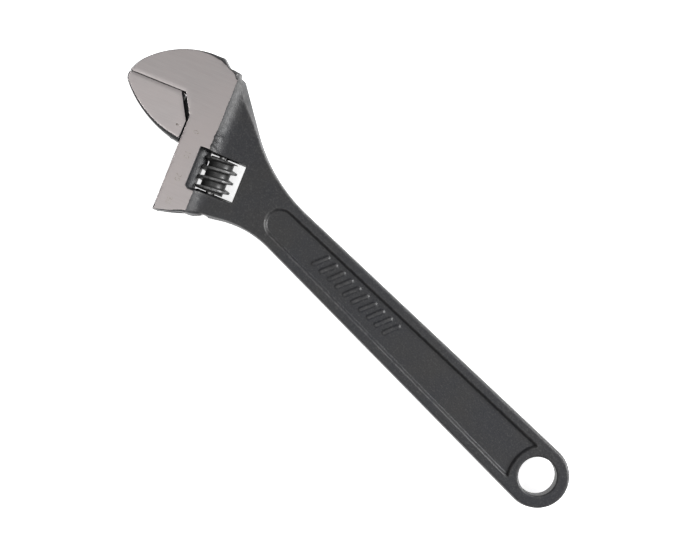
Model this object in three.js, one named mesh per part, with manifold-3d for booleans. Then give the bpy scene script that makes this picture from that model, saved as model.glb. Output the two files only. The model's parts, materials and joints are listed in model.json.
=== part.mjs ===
// Adjustable wrench, 10 inch / 250 mm class, drop-forged steel.
//
// Millimetres, +Z up. The wrench lies on its side, so its two broad faces look up and down.
// Two frames are used while it is built:
//   handle frame  origin at the centre of the hanging hole, +x along the handle to the head
//   head frame    origin where the fixed jaw's face line meets the slide face, turned by
//                 headAngle: +u points out of the mouth, +v is the way the movable jaw opens
// The finished group is moved so that its origin is the bottom centre of its own box.

import * as THREE from 'three';
import { mergeVertices } from 'three/addons/utils/BufferGeometryUtils.js';
import Module from 'manifold-3d';

const wasm = await Module();
wasm.setup();

// ---------------------------------------------------------------- driving dimensions

const looseFit = 0.3; // working gap between neighbouring pieces
const overrun = 5; // how far a cutter runs past the face that it opens
const weldDistance = 1e-4; // corners closer than this are one corner
const turnedOver = [180, 0, 0]; // a pocket turned about the handle, for the lower face

// where the head sits on the handle
const headX = 208.7;
const headY = -13.65;
const headAngle = THREE.MathUtils.degToRad(22.5);

// handle
const handleEndRadius = 13.5;
const handleTaper = THREE.MathUtils.degToRad(1.126); // each side leans in by this angle
const handleThickness = 8.8;
const handleEdgeRadius = 1.4;
const handleEdgeSteps = 3;
const hangingHoleRadius = 7.9;
const hangingHoleChamfer = 0.9;
const panelDepth = 1.3;
const panelDraft = 0.7;
const panelRimWidth = 4.4;
const panelHoleRim = 3.4; // land left between the hanging hole and the panel
const panelNearArcRadius = 16;
const panelHeadGap = 54.3; // from the head's origin back to the round end of the panel

// head
const headThickness = 15.4;
const headEdgeRadius = 0.7;
const headEdgeSteps = 2;
const groundFaceDepth = 12.9; // how far the flat ground face runs back from the slide face
const shoulderLength = 4.9; // hollow run from the ground face down to the neck
const shoulderKnee = 1.7; // how far back the steep part of the shoulder ends
const shoulderSegments = 6;
const shoulderSink = 0.03; // the shoulder's toe dips just under the neck's faces
const headOverlap = 9.8; // how far the head's plate runs on along the neck's sides
const slideFaceEnd = 49.7;
const chinDrop = 3.5; // from the heel down to the chin's corner
const heelRadius = 1.6;
const headBury = 4; // how far inside the head's outline the neck's own plate ends
const throatFacetHeight = 8.5;
const throatFacetSlope = Math.tan(THREE.MathUtils.degToRad(60));
const jawBackTop = { u: -1.7, v: -19.1 };
const jawBackRadius = 37.5;
const jawTipRadius = 16.8;
const jawTipTurn = THREE.MathUtils.degToRad(-42.7); // where the back curve hands over to the tip
const backCorner = { u: -15.5, v: -13.3 };
const backSteps = [[-12.5, -15.8], [-9.9, -15.9], [-5.6, -18.6]]; // trimmed flash above the neck
const backEdgeAngle = THREE.MathUtils.degToRad(-53.3);
const chinCorner = { u: -12.2, v: slideFaceEnd - chinDrop };
const chinEdgeAngle = THREE.MathUtils.degToRad(9.5);
const chinBreakRadius = 12;
const backNeckRadius = 70;
const chinNeckRadius = 40;

// movable jaw
const jawThinning = 0.2; // the movable jaw is this much thinner than the head
const jawFaceGap = 0.3;
const slideGap = 0.5;
const throatGap = 1.7; // slit left between the two throat facets when the jaws are shut
const jawHeelV = 20.3;
const jawBellyRadius = 45.8;
const jawNoseRadius = 4.4;
const jawNoseDrop = 1.6; // how far the nose's centre lies from the jaw face
const jawNoseReach = 0.2; // how far the nose stands out past the fixed jaw's tip
const webThickness = 5.2;
const barRadius = 5;
const slideWall = 3; // metal between the slide face and the bar's bore
const barBlindEnd = -4.5;
const barPastWindow = 4.3;
const tailReliefStart = 25.6; // past this the bar has no teeth and is cut to a flat
const tailFlatDepth = 1.6;

// worm
const wormTipRadius = 7.5;
const threadDepth = 2.4;
const rackTipGap = 0.4; // between the rack's tips and the root of the thread
const wormLead = 4.2;
const wormPhaseV = 25.7; // a crest passes here on the side that faces the rack
const wormEndChamfer = 1.1;
const crestHalfWidth = 0.45;
const rootHalfWidth = 0.95;
const wormTopGap = 0.65;
const wormBottomGap = 0.35;

// the worm's pin and spring
const pinRadius = 2;
const pinBlindDepth = 6.7; // how far the pin runs on past the window
const pinHeadLip = 0.9; // how far the pin's head stands out round its shank
const pinHeadLength = 2.8;
const pinHeadRecess = 0.9;
const pinSlotWidth = 0.9;
const pinSlotDepth = 1;
const springWireRadius = 0.3;
const springClearance = 0.7; // between the pin and the inside of the coil
const springTurns = 4;
const springSeatDepth = 6.5;

// window that the worm turns in, measured at the mid-plane
const windowStartV = 19.2;
const windowEndV = 34.7;
const windowPastBar = 1.5; // how far the near wall lies behind the bar's axis
const thumbGap = 2.3; // between the thread's tips and the far wall
const windowDraft = 1.4; // each wall leans out by this much up to the ground face
const windowCornerRadius = 0.6;

// facets of round shapes
const chordError = 0.04;
const boreSegments = 32;
const threadSegments = 30;
const pinSegments = 20;
const wireSegments = 6;
const coilSteps = 10;

const halfHead = headThickness / 2;
const halfHandle = handleThickness / 2;
const wormRootRadius = wormTipRadius - threadDepth;
const pinHeadRadius = pinRadius + pinHeadLip;
const springMeanRadius = pinRadius + springClearance + springWireRadius;
const barAxisU = -(slideWall + looseFit + barRadius);
const wormAxisU = barAxisU - barRadius - rackTipGap - wormRootRadius;
const windowNearU = barAxisU - windowPastBar;
const windowFarU = wormAxisU - wormTipRadius - thumbGap;
const barTailEnd = windowEndV + barPastWindow;
const throatDepth = throatFacetHeight / throatFacetSlope;

// ---------------------------------------------------------------- frames

const headFrame = new THREE.Matrix4().makeRotationZ(headAngle).setPosition(headX, headY, 0);

// Turns a shape that was built round local z so that it runs along the head's v axis at u.
function alongV(u) {
  return new THREE.Matrix4().makeRotationX(-Math.PI / 2).setPosition(u, 0, 0);
}

// A head-frame point, as a point of the handle frame.
function fromHead(spot) {
  const point = new THREE.Vector3(spot.x, spot.y, 0).applyMatrix4(headFrame);
  return new THREE.Vector2(point.x, point.y);
}

// ---------------------------------------------------------------- solids

// A closed three.js geometry, as a solid that can be joined and cut.
function solid(geometry, matrix = new THREE.Matrix4()) {
  const bare = geometry.clone().applyMatrix4(matrix);
  for (const name of ['normal', 'uv']) bare.deleteAttribute(name);
  const merged = mergeVertices(bare, weldDistance);
  const corners = merged.index.array;
  const kept = [];
  for (let i = 0; i < corners.length; i += 3) {
    const [a, b, c] = corners.slice(i, i + 3);
    if (a !== b && b !== c && c !== a) kept.push(a, b, c);
  }
  return new wasm.Manifold(new wasm.Mesh({
    numProp: 3,
    vertProperties: Float32Array.from(merged.attributes.position.array),
    triVerts: Uint32Array.from(kept),
  }));
}

// A named piece made of a solid and a material.
function piece(name, form, material) {
  const mesh = form.getMesh();
  const geometry = new THREE.BufferGeometry();
  geometry.setAttribute('position', new THREE.BufferAttribute(mesh.vertProperties, 3));
  geometry.setIndex(new THREE.BufferAttribute(mesh.triVerts, 1));
  geometry.computeVertexNormals();
  const result = new THREE.Mesh(geometry, material);
  result.name = name;
  return result;
}

// A plate of the outline, centred on the mid-plane, with its edges rounded to edgeRadius.
function plate(outline, thickness, edgeRadius, edgeSteps) {
  const geometry = new THREE.ExtrudeGeometry(outline, {
    depth: thickness - 2 * edgeRadius,
    bevelThickness: edgeRadius,
    bevelSize: edgeRadius,
    bevelOffset: -edgeRadius,
    bevelSegments: edgeSteps,
  });
  return geometry.translate(0, 0, edgeRadius - thickness / 2);
}

// A plate whose walls lean: the outline holds in the middle and moves by spread at both ends.
function draftedPlate(outline, land, height, spread) {
  const geometry = new THREE.ExtrudeGeometry(outline, {
    depth: land,
    bevelThickness: height,
    bevelSize: -spread,
    bevelOffset: spread,
    bevelSegments: 1,
  });
  return geometry.translate(0, 0, -land / 2);
}

// A closed shape turned round local z, from pairs of radius and height.
function turned(profile, segments) {
  const points = profile.map(([radius, height]) => new THREE.Vector2(radius, height));
  return new THREE.LatheGeometry(points, segments).rotateX(Math.PI / 2);
}

// A plain cylinder round local z.
function cylinder(radius, start, end, segments) {
  return turned([[0, start], [radius, start], [radius, end], [0, end]], segments);
}

// A box between two opposite corners.
function box(low, high) {
  const size = high.map((value, axis) => value - low[axis]);
  const middle = high.map((value, axis) => (value + low[axis]) / 2);
  return new THREE.BoxGeometry(...size).translate(...middle);
}

// ---------------------------------------------------------------- outlines

// Unit vector at an angle.
function heading(angle) {
  return new THREE.Vector2(Math.cos(angle), Math.sin(angle));
}

// Crossing point of two lines, each given by a point and a direction.
function crossing(p, along, q, across) {
  const t = q.clone().sub(p).cross(across) / along.cross(across);
  return p.clone().addScaledVector(along, t);
}

// Points of an arc, so close that the chords between them stray by no more than chordError.
function arc(centre, radius, from, to) {
  const step = 2 * Math.acos(1 - chordError / radius);
  const count = Math.max(1, Math.ceil(Math.abs(to - from) / step));
  const curve = new THREE.EllipseCurve(centre.x, centre.y, radius, radius, from, to, to < from);
  return curve.getPoints(count);
}

// Points of the arc that rounds the corner between before and after.
function rounded(before, corner, after, radius) {
  const back = before.clone().sub(corner).normalize();
  const onward = after.clone().sub(corner).normalize();
  const halfAngle = Math.acos(back.dot(onward)) / 2;
  const middle = back.clone().add(onward).normalize();
  const centre = corner.clone().addScaledVector(middle, radius / Math.sin(halfAngle));
  const start = back.multiplyScalar(radius / Math.tan(halfAngle)).add(corner).sub(centre);
  const turn = (Math.PI - 2 * halfAngle) * -Math.sign(start.cross(middle));
  const from = Math.atan2(start.y, start.x);
  return arc(centre, radius, from, from + turn);
}

// The two arcs that make the back of the fixed jaw. They share a tangent at jawTipTurn.
const jawBackCentre = new THREE.Vector2(jawBackTop.u, jawBackTop.v + jawBackRadius);
const jawTipCentre = jawBackCentre
  .clone()
  .addScaledVector(heading(jawTipTurn), jawBackRadius - jawTipRadius);
const jawTipEnd = Math.asin(-jawTipCentre.y / jawTipRadius);
const jawLength = jawTipCentre.x + jawTipRadius * Math.cos(jawTipEnd);

// Head-frame points of the head's edges that run on into the neck, and of the edges' far ends.
const back = new THREE.Vector2(backCorner.u, backCorner.v);
const chin = new THREE.Vector2(chinCorner.u, chinCorner.v);
const backRun = heading(backEdgeAngle);
const chinRun = heading(chinEdgeAngle);

// Outline of the handle and neck, counterclockwise. It ends inside the head.
function handleOutline() {
  const sideOffset = handleEndRadius / Math.cos(handleTaper);
  const backSide = new THREE.Vector2(0, -sideOffset);
  const chinSide = new THREE.Vector2(0, sideOffset);
  const backEnd = fromHead(back);
  const chinEnd = fromHead(chin);
  const backLine = heading(headAngle + backEdgeAngle);
  const chinLine = heading(headAngle + chinEdgeAngle);
  const backNeck = crossing(backSide, heading(handleTaper), backEnd, backLine);
  const chinNeck = crossing(chinSide, heading(-handleTaper), chinEnd, chinLine);
  const halfTurn = Math.PI / 2 - handleTaper;
  return new THREE.Shape([
    ...rounded(backSide, backNeck, backEnd, backNeckRadius),
    backEnd,
    fromHead(new THREE.Vector2(-headBury, back.y + headBury)),
    fromHead(new THREE.Vector2(-headBury, chin.y - headBury)),
    chinEnd,
    ...rounded(chinEnd, chinNeck, chinSide, chinNeckRadius),
    ...arc(new THREE.Vector2(), handleEndRadius, halfTurn, 2 * Math.PI - halfTurn),
  ]);
}

// Outline of the head with its fixed jaw, in the head frame. It ends inside the neck.
function headOutline() {
  const heel = new THREE.Vector2(0, slideFaceEnd);
  const throat = new THREE.Vector2(0, throatFacetHeight);
  const chinEnd = chin.clone().addScaledVector(chinRun, -headOverlap);
  const points = [
    back.clone().addScaledVector(backRun, -headOverlap),
    back,
    ...backSteps.map(([u, v]) => new THREE.Vector2(u, v)),
    ...arc(jawBackCentre, jawBackRadius, -Math.PI / 2, jawTipTurn).slice(0, -1),
    ...arc(jawTipCentre, jawTipRadius, jawTipTurn, jawTipEnd),
    new THREE.Vector2(throatDepth, 0),
    throat,
    ...rounded(throat, heel, chin, heelRadius),
    ...rounded(heel, chin, chinEnd, chinBreakRadius),
    chinEnd,
  ];
  return new THREE.Shape(points);
}

// Outline of the shallow panel in each broad face of the handle.
function panelOutline() {
  const inset = handleEndRadius - panelRimWidth;
  const along = heading(-handleTaper);
  const endCentreX = (headX - panelHeadGap - inset) / (1 - Math.sin(handleTaper));
  const endRadius = inset - endCentreX * Math.sin(handleTaper);
  const nearCentre = new THREE.Vector2(hangingHoleRadius + panelHoleRim - panelNearArcRadius, 0);
  const side = new THREE.Vector2(0, inset / Math.cos(handleTaper));
  const foot = side.clone().addScaledVector(along, nearCentre.clone().sub(side).dot(along));
  const halfChord = Math.sqrt(panelNearArcRadius ** 2 - foot.distanceToSquared(nearCentre));
  const corner = foot.addScaledVector(along, halfChord);
  const cornerTurn = Math.atan2(corner.y, corner.x - nearCentre.x);
  const endTurn = Math.PI / 2 - handleTaper;
  return new THREE.Shape([
    ...arc(new THREE.Vector2(endCentreX, 0), endRadius, -endTurn, endTurn),
    ...arc(nearCentre, panelNearArcRadius, cornerTurn, -cornerTurn),
  ]);
}

// Centre of the belly arc, which passes through the heel and rounds smoothly into the nose.
function bellyCentre(noseCentre, heel) {
  const noseReach = jawBellyRadius - jawNoseRadius;
  const span = heel.clone().sub(noseCentre);
  const along = (noseReach ** 2 - jawBellyRadius ** 2 + span.lengthSq()) / (2 * span.length());
  const across = Math.sqrt(noseReach ** 2 - along ** 2);
  span.normalize();
  const towardFace = new THREE.Vector2(-span.y, span.x);
  return noseCentre.clone().addScaledVector(span, along).addScaledVector(towardFace, across);
}

// Outline of the movable jaw's block, in the head frame with the jaws shut.
function jawOutline() {
  const nose = new THREE.Vector2(jawLength + jawNoseReach - jawNoseRadius, jawFaceGap + jawNoseDrop);
  const heel = new THREE.Vector2(slideGap, jawHeelV);
  const belly = bellyCentre(nose, heel);
  const noseTurn = Math.atan2(nose.y - belly.y, nose.x - belly.x);
  const heelTurn = Math.atan2(heel.y - belly.y, heel.x - belly.x);
  const facetShift = throatGap * Math.sqrt(1 + 1 / throatFacetSlope ** 2);
  const facetTop = throatDepth + facetShift - jawFaceGap / throatFacetSlope;
  return new THREE.Shape([
    new THREE.Vector2(facetTop, jawFaceGap),
    ...arc(nose, jawNoseRadius, -Math.asin(jawNoseDrop / jawNoseRadius), noseTurn).slice(0, -1),
    ...arc(belly, jawBellyRadius, noseTurn, heelTurn),
    new THREE.Vector2(slideGap, jawFaceGap + (facetTop - slideGap) * throatFacetSlope),
  ]);
}

// ---------------------------------------------------------------- body

// The part of the head that is thicker than the neck: ground faces, then the hollow shoulder.
function headThicknessProfile() {
  const reach = slideFaceEnd + overrun;
  const back = -groundFaceDepth;
  const toe = back - shoulderLength;
  const shape = new THREE.Shape();
  shape.moveTo(reach, -halfHead - overrun);
  shape.lineTo(reach, halfHead + overrun);
  shape.lineTo(back, halfHead + overrun);
  shape.lineTo(back, halfHead);
  shape.quadraticCurveTo(back - shoulderKnee, halfHandle, toe, halfHandle - shoulderSink);
  shape.lineTo(toe, shoulderSink - halfHandle);
  shape.quadraticCurveTo(back - shoulderKnee, -halfHandle, back, -halfHead);
  shape.lineTo(back, -halfHead - overrun);
  const settings = { depth: 2 * reach, bevelEnabled: false, curveSegments: shoulderSegments };
  return new THREE.ExtrudeGeometry(shape, settings).translate(0, 0, -reach).rotateX(Math.PI / 2);
}

function forging() {
  const handle = solid(plate(handleOutline(), handleThickness, handleEdgeRadius, handleEdgeSteps));
  const head = solid(plate(headOutline(), headThickness, headEdgeRadius, headEdgeSteps));
  const shaped = head.intersect(solid(headThicknessProfile()));
  return handle.add(shaped.transform(headFrame.elements));
}

// The panel in the upper face, from its drafted floor up into the air.
function panelPocket() {
  const outline = panelOutline();
  const pocket = draftedPlate(outline, overrun, panelDepth, -panelDraft);
  return pocket.translate(0, 0, halfHandle + overrun / 2);
}

function hangingHole() {
  const flare = hangingHoleRadius + hangingHoleChamfer + overrun;
  return turned([
    [0, -halfHandle - overrun],
    [flare, -halfHandle - overrun],
    [hangingHoleRadius, hangingHoleChamfer - halfHandle],
    [hangingHoleRadius, halfHandle - hangingHoleChamfer],
    [flare, halfHandle + overrun],
    [0, halfHandle + overrun],
  ], boreSegments);
}

function wormWindow() {
  const corners = [
    new THREE.Vector2(windowFarU, windowStartV),
    new THREE.Vector2(windowNearU, windowStartV),
    new THREE.Vector2(windowNearU, windowEndV),
    new THREE.Vector2(windowFarU, windowEndV),
  ];
  const points = corners.flatMap((corner, i) => (
    rounded(corners[(i + 3) % 4], corner, corners[(i + 1) % 4], windowCornerRadius)
  ));
  const height = halfHead + looseFit;
  const spread = windowDraft * height / halfHead;
  return draftedPlate(new THREE.Shape(points), looseFit, height, spread);
}

// Bore for the jaw's bar, blind behind the fixed jaw and open at the chin.
function barBore() {
  return cylinder(barRadius + looseFit, barBlindEnd - looseFit, slideFaceEnd + overrun, boreSegments);
}

// Slot in the slide face and throat that the jaw's web runs in.
function webSlot() {
  const half = webThickness / 2 + looseFit;
  const low = [barAxisU, -looseFit, -half];
  const high = [throatDepth + overrun, slideFaceEnd + overrun, half];
  return box(low, high);
}

// Places on the pin along v: its blind tip, and the chin edge where it goes in.
const pinTipV = windowStartV - pinBlindDepth;
const chinAtPin = chinCorner.v + (wormAxisU - chinCorner.u) * Math.tan(chinEdgeAngle);
const pinHeadTopV = chinAtPin - pinHeadRecess;
const pinHeadBaseV = pinHeadTopV - pinHeadLength;

function pinHole() {
  return turned([
    [0, pinTipV - looseFit],
    [pinRadius + looseFit, pinTipV - looseFit],
    [pinRadius + looseFit, pinHeadBaseV - looseFit],
    [pinHeadRadius + looseFit, pinHeadBaseV - looseFit],
    [pinHeadRadius + looseFit, chinAtPin + overrun],
    [0, chinAtPin + overrun],
  ], pinSegments);
}

function bodySolid() {
  const pocket = solid(panelPocket());
  const inHead = [solid(wormWindow()), solid(webSlot())];
  inHead.push(solid(barBore(), alongV(barAxisU)), solid(pinHole(), alongV(wormAxisU)));
  let form = forging().subtract(pocket).subtract(pocket.rotate(turnedOver));
  form = form.subtract(solid(hangingHole()));
  for (const cutter of inHead) form = form.subtract(cutter.transform(headFrame.elements));
  return form;
}

// ---------------------------------------------------------------- worm

// A screw about local z with one thread, longer than is needed at both ends. Each turn has four
// rows of points, at the two edges of the crest and of the root, and every row climbs one lead a
// turn, so a row ends where the row of the next turn begins. grow makes the thread fatter all over.
function screwBlank(firstTurn, lastTurn, grow) {
  const crest = crestHalfWidth + grow;
  const root = rootHalfWidth + grow;
  const offsets = [-crest, crest, root, wormLead - root];
  const radii = [wormTipRadius, wormTipRadius, wormRootRadius, wormRootRadius];
  const perTurn = radii.length;
  const rows = perTurn * (lastTurn - firstTurn + 1);
  const columns = threadSegments;
  const points = [];
  for (let row = 0; row < rows; row += 1) {
    const edge = row % perTurn;
    const fullTurns = firstTurn + (row - edge) / perTurn;
    const base = wormPhaseV + wormLead * fullTurns + offsets[edge];
    for (let column = 0; column < columns; column += 1) {
      const turn = column / columns;
      const spot = heading(2 * Math.PI * turn).multiplyScalar(radii[edge] + grow);
      points.push(spot.x, spot.y, base + wormLead * turn);
    }
  }
  const at = (row, column) => (column < columns
    ? row * columns + column
    : (row + perTurn) * columns);
  const faces = [];
  for (let column = 0; column < columns; column += 1) {
    const last = column === columns - 1 ? rows - perTurn - 1 : rows - 1;
    for (let row = 0; row < last; row += 1) {
      faces.push(at(row, column), at(row, column + 1), at(row + 1, column + 1));
      faces.push(at(row, column), at(row + 1, column + 1), at(row + 1, column));
    }
  }
  const steps = radii.map((radius, i) => perTurn - i);
  const low = steps.map((row) => at(row, 0));
  const high = steps.map((row) => at(rows - 1 - row, columns - 1));
  for (let column = 0; column < columns; column += 1) {
    low.push(at(0, column));
    high.push(at(rows - 1, columns - 1 - column));
  }
  closeEnd(points, faces, low.reverse(), points[2]);
  closeEnd(points, faces, high.reverse(), points[points.length - 1]);
  const geometry = new THREE.BufferGeometry();
  geometry.setAttribute('position', new THREE.Float32BufferAttribute(points, 3));
  geometry.setIndex(faces);
  return geometry;
}

// Closes a ring of points with a fan from a point on the axis.
function closeEnd(points, faces, ring, height) {
  const middle = points.length / 3;
  points.push(0, 0, height);
  ring.forEach((point, i) => faces.push(middle, point, ring[(i + 1) % ring.length]));
}

const wormStartV = windowStartV + wormTopGap;
const wormEndV = windowEndV - wormBottomGap;

// The first and last turns of thread that reach a stretch of the axis.
function turnsOver(startV, endV) {
  const first = Math.floor((startV - wormPhaseV) / wormLead) - 1;
  const last = Math.ceil((endV - wormPhaseV) / wormLead) + 1;
  return [first, last];
}

function wormSolid() {
  const [first, last] = turnsOver(wormStartV, wormEndV);
  const neckRadius = wormTipRadius - wormEndChamfer;
  const trim = solid(turned([
    [0, wormStartV],
    [neckRadius, wormStartV],
    [wormTipRadius + looseFit, wormStartV + wormEndChamfer],
    [wormTipRadius + looseFit, wormEndV - wormEndChamfer],
    [neckRadius, wormEndV],
    [0, wormEndV],
  ], threadSegments));
  const springSeat = springMeanRadius + springWireRadius + looseFit;
  const bore = solid(turned([
    [0, wormStartV - overrun],
    [springSeat, wormStartV - overrun],
    [springSeat, wormStartV + springSeatDepth],
    [pinRadius + looseFit, wormStartV + springSeatDepth],
    [pinRadius + looseFit, wormEndV + overrun],
    [0, wormEndV + overrun],
  ], pinSegments));
  return solid(screwBlank(first, last, 0)).intersect(trim).subtract(bore);
}

// ---------------------------------------------------------------- movable jaw

// The round bar, with the rack that the worm cuts in its side and a plain flat on its tail.
function rackBar() {
  const [first, last] = turnsOver(barBlindEnd, barTailEnd);
  const bar = solid(turned([
    [0, barBlindEnd],
    [barRadius - looseFit, barBlindEnd],
    [barRadius, barBlindEnd + looseFit],
    [barRadius, barTailEnd - looseFit],
    [barRadius - looseFit, barTailEnd],
    [0, barTailEnd],
  ], boreSegments), alongV(barAxisU));
  const relief = box(
    [barAxisU - 2 * barRadius, tailReliefStart, -barRadius],
    [barAxisU - barRadius + tailFlatDepth, barTailEnd + overrun, barRadius],
  );
  const hob = solid(screwBlank(first, last, looseFit), alongV(wormAxisU));
  return bar.subtract(solid(relief)).subtract(hob);
}

function movableJawSolid() {
  const block = solid(plate(jawOutline(), headThickness - jawThinning, headEdgeRadius, headEdgeSteps));
  const web = box(
    [barAxisU, jawFaceGap, -webThickness / 2],
    [throatDepth, jawHeelV - headEdgeRadius, webThickness / 2],
  );
  const insideJaw = box(
    [barAxisU, jawFaceGap + throatFacetHeight, -webThickness / 2],
    [throatDepth + slideGap, jawHeelV - 2 * headEdgeRadius, webThickness / 2],
  );
  return block.add(solid(web)).add(solid(insideJaw)).add(rackBar());
}

// ---------------------------------------------------------------- pin and spring

function pinSolid() {
  const shaft = turned([
    [0, pinTipV],
    [pinRadius, pinTipV],
    [pinRadius, pinHeadBaseV],
    [pinHeadRadius, pinHeadBaseV],
    [pinHeadRadius, pinHeadTopV],
    [0, pinHeadTopV],
  ], pinSegments);
  const slot = box(
    [-pinHeadRadius * 2, -pinSlotWidth / 2, pinHeadTopV - pinSlotDepth],
    [pinHeadRadius * 2, pinSlotWidth / 2, pinHeadTopV + overrun],
  );
  return solid(shaft).subtract(solid(slot));
}

// The spring's wire, wound round local z between the window's wall and its seat in the worm.
class SpringCoil extends THREE.Curve {
  getPoint(t, target = new THREE.Vector3()) {
    const end = springWireRadius + looseFit;
    const start = windowStartV + end;
    const finish = wormStartV + springSeatDepth - end;
    const spot = heading(2 * Math.PI * springTurns * t).multiplyScalar(springMeanRadius);
    return target.set(spot.x, spot.y, THREE.MathUtils.lerp(start, finish, t));
  }
}

function springSolid() {
  const section = new THREE.Shape();
  section.absarc(0, 0, springWireRadius, 0, 2 * Math.PI);
  return solid(new THREE.ExtrudeGeometry(section, {
    steps: springTurns * coilSteps,
    curveSegments: wireSegments,
    extrudePath: new SpringCoil(),
  }));
}

// ---------------------------------------------------------------- assembly

const blackForging = new THREE.MeshStandardMaterial({ color: 0x3f3f42, roughness: 0.55, metalness: 0.6 });
const groundSteel = new THREE.MeshStandardMaterial({ color: 0xa29d9b, roughness: 0.4, metalness: 0.9 });
const blackSteel = new THREE.MeshStandardMaterial({ color: 0x38383a, roughness: 0.45, metalness: 0.7 });
const brightSteel = new THREE.MeshStandardMaterial({ color: 0xb4b2b0, roughness: 0.3, metalness: 1 });

const head = new THREE.Group();
head.position.set(headX, headY, 0);
head.rotation.z = headAngle;
head.add(piece('movable_jaw', movableJawSolid(), groundSteel));

const onWormAxis = new THREE.Group();
onWormAxis.position.x = wormAxisU;
onWormAxis.rotation.x = -Math.PI / 2;
onWormAxis.add(piece('worm', wormSolid(), blackSteel));
onWormAxis.add(piece('worm_pin', pinSolid(), brightSteel));
onWormAxis.add(piece('worm_spring', springSolid(), brightSteel));
head.add(onWormAxis);

const wrench = new THREE.Group();
wrench.add(piece('body', bodySolid(), blackForging));
wrench.add(head);

const extent = new THREE.Box3().setFromObject(wrench, true);
const middle = extent.getCenter(new THREE.Vector3());
wrench.position.set(-middle.x, -middle.y, -extent.min.z);

const group = new THREE.Group();
group.add(wrench);

export default group;
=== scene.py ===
# %% [markdown]
# # An adjustable wrench, from its frame to a finished picture
#
# The wrench is a drop forging with a ground head, a jaw that slides, and a worm that drives it.
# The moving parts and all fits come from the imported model, which is loaded as a fixed frame.
# This script makes the surfaces that the eye meets: the forged skin, the ground faces, the
# fine thread. Lengths are in millimetres here, and turn into metres when a mesh is made.

# %% Load the frame
import json

import bpy
import numpy as np
from mathutils import Matrix, Vector
from mathutils.geometry import delaunay_2d_cdt


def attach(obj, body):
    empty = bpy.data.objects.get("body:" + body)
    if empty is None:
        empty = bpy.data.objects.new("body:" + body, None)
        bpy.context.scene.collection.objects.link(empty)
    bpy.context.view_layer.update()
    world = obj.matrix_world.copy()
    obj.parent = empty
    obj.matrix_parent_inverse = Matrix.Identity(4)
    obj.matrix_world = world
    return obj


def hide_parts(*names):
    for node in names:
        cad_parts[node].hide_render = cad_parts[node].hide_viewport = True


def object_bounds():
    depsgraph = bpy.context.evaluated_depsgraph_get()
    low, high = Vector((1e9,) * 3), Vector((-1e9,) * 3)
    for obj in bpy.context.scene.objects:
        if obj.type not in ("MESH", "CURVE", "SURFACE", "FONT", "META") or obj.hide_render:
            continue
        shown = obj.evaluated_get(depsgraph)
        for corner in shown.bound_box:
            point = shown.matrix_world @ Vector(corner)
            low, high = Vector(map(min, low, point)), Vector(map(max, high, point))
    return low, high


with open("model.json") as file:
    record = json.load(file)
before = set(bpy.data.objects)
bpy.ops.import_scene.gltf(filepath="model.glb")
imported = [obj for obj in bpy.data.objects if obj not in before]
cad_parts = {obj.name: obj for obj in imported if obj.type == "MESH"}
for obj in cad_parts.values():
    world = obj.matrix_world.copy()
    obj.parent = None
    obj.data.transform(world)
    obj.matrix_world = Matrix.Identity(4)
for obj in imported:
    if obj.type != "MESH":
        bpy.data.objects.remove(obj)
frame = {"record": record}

MM = 0.001
CAD_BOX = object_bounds()

# %% [markdown]
# ## Two frames to draw in
#
# The handle is drawn in a frame whose origin is the hanging hole, with x along the handle. The
# head is turned against it, so it has a frame of its own: v is the way the jaw slides, u points
# out of the mouth. Both are read from the record, so the looks always sit on the real part.

# %% Handle frame and head frame
record = frame["record"]
joints = {joint["name"]: joint for joint in record["behaviour"]["joints"]}
hole_box = np.array(record["physics"]["openings"][0]["box_m"]) / MM
hole_centre = hole_box.mean(axis=0)
middle_z = (CAD_BOX[0].z + CAD_BOX[1].z) / 2 / MM
origin = np.array([hole_centre[0], hole_centre[1], middle_z])

along_v = np.array(joints["jaw_slide"]["axis"][:2])
along_u = np.array([along_v[1], -along_v[0]])
WORM_AXIS_U = -18.8
WORM_MIDDLE_V = 27.1
worm_middle = np.array(joints["worm_spin"]["pos_m"]) / MM - origin
head_origin = worm_middle[:2] - WORM_AXIS_U * along_u - WORM_MIDDLE_V * along_v
HEAD_ANGLE = np.degrees(np.arctan2(along_u[1], along_u[0]))


def from_head(spots):
    """Head-frame points as handle-frame points: the origin plus u and v times their directions."""
    spots = np.asarray(spots, float)
    return head_origin + spots[..., :1] * along_u + spots[..., 1:2] * along_v


def to_head(spots):
    """Handle-frame points as u and v: how far they lie along each direction of the head."""
    away = np.asarray(spots, float)[..., :2] - head_origin
    return away @ along_u, away @ along_v


print("head turned by", round(float(HEAD_ANGLE), 2), "degrees, origin at", head_origin.round(2))

# %% [markdown]
# ## Lines, arcs and distances
#
# An edge is a chain of short straight segments. Two things are asked of a chain: points beside
# it, which keep mesh lines parallel to the edge, and the distance to it, from which the height
# of the surface is worked out.

# %% Chains of points
def heading(degrees):
    """The unit vector at an angle: its cosine and its sine."""
    return np.array([np.cos(np.radians(degrees)), np.sin(np.radians(degrees))])


def arc(centre, radius, start, end, step=0.6):
    """Points of an arc: the centre plus the radius times the heading, from start to end degrees."""
    count = max(3, int(np.ceil(np.radians(abs(end - start)) * radius / step)) + 1)
    return np.asarray(centre) + radius * heading(np.linspace(start, end, count)).T


def straight(a, b, step=0.9):
    """Points from a to b, evenly spaced, both ends included."""
    a, b = np.asarray(a, float), np.asarray(b, float)
    count = max(2, int(np.ceil(np.linalg.norm(b - a) / step)) + 1)
    return a + np.linspace(0, 1, count)[:, None] * (b - a)


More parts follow.
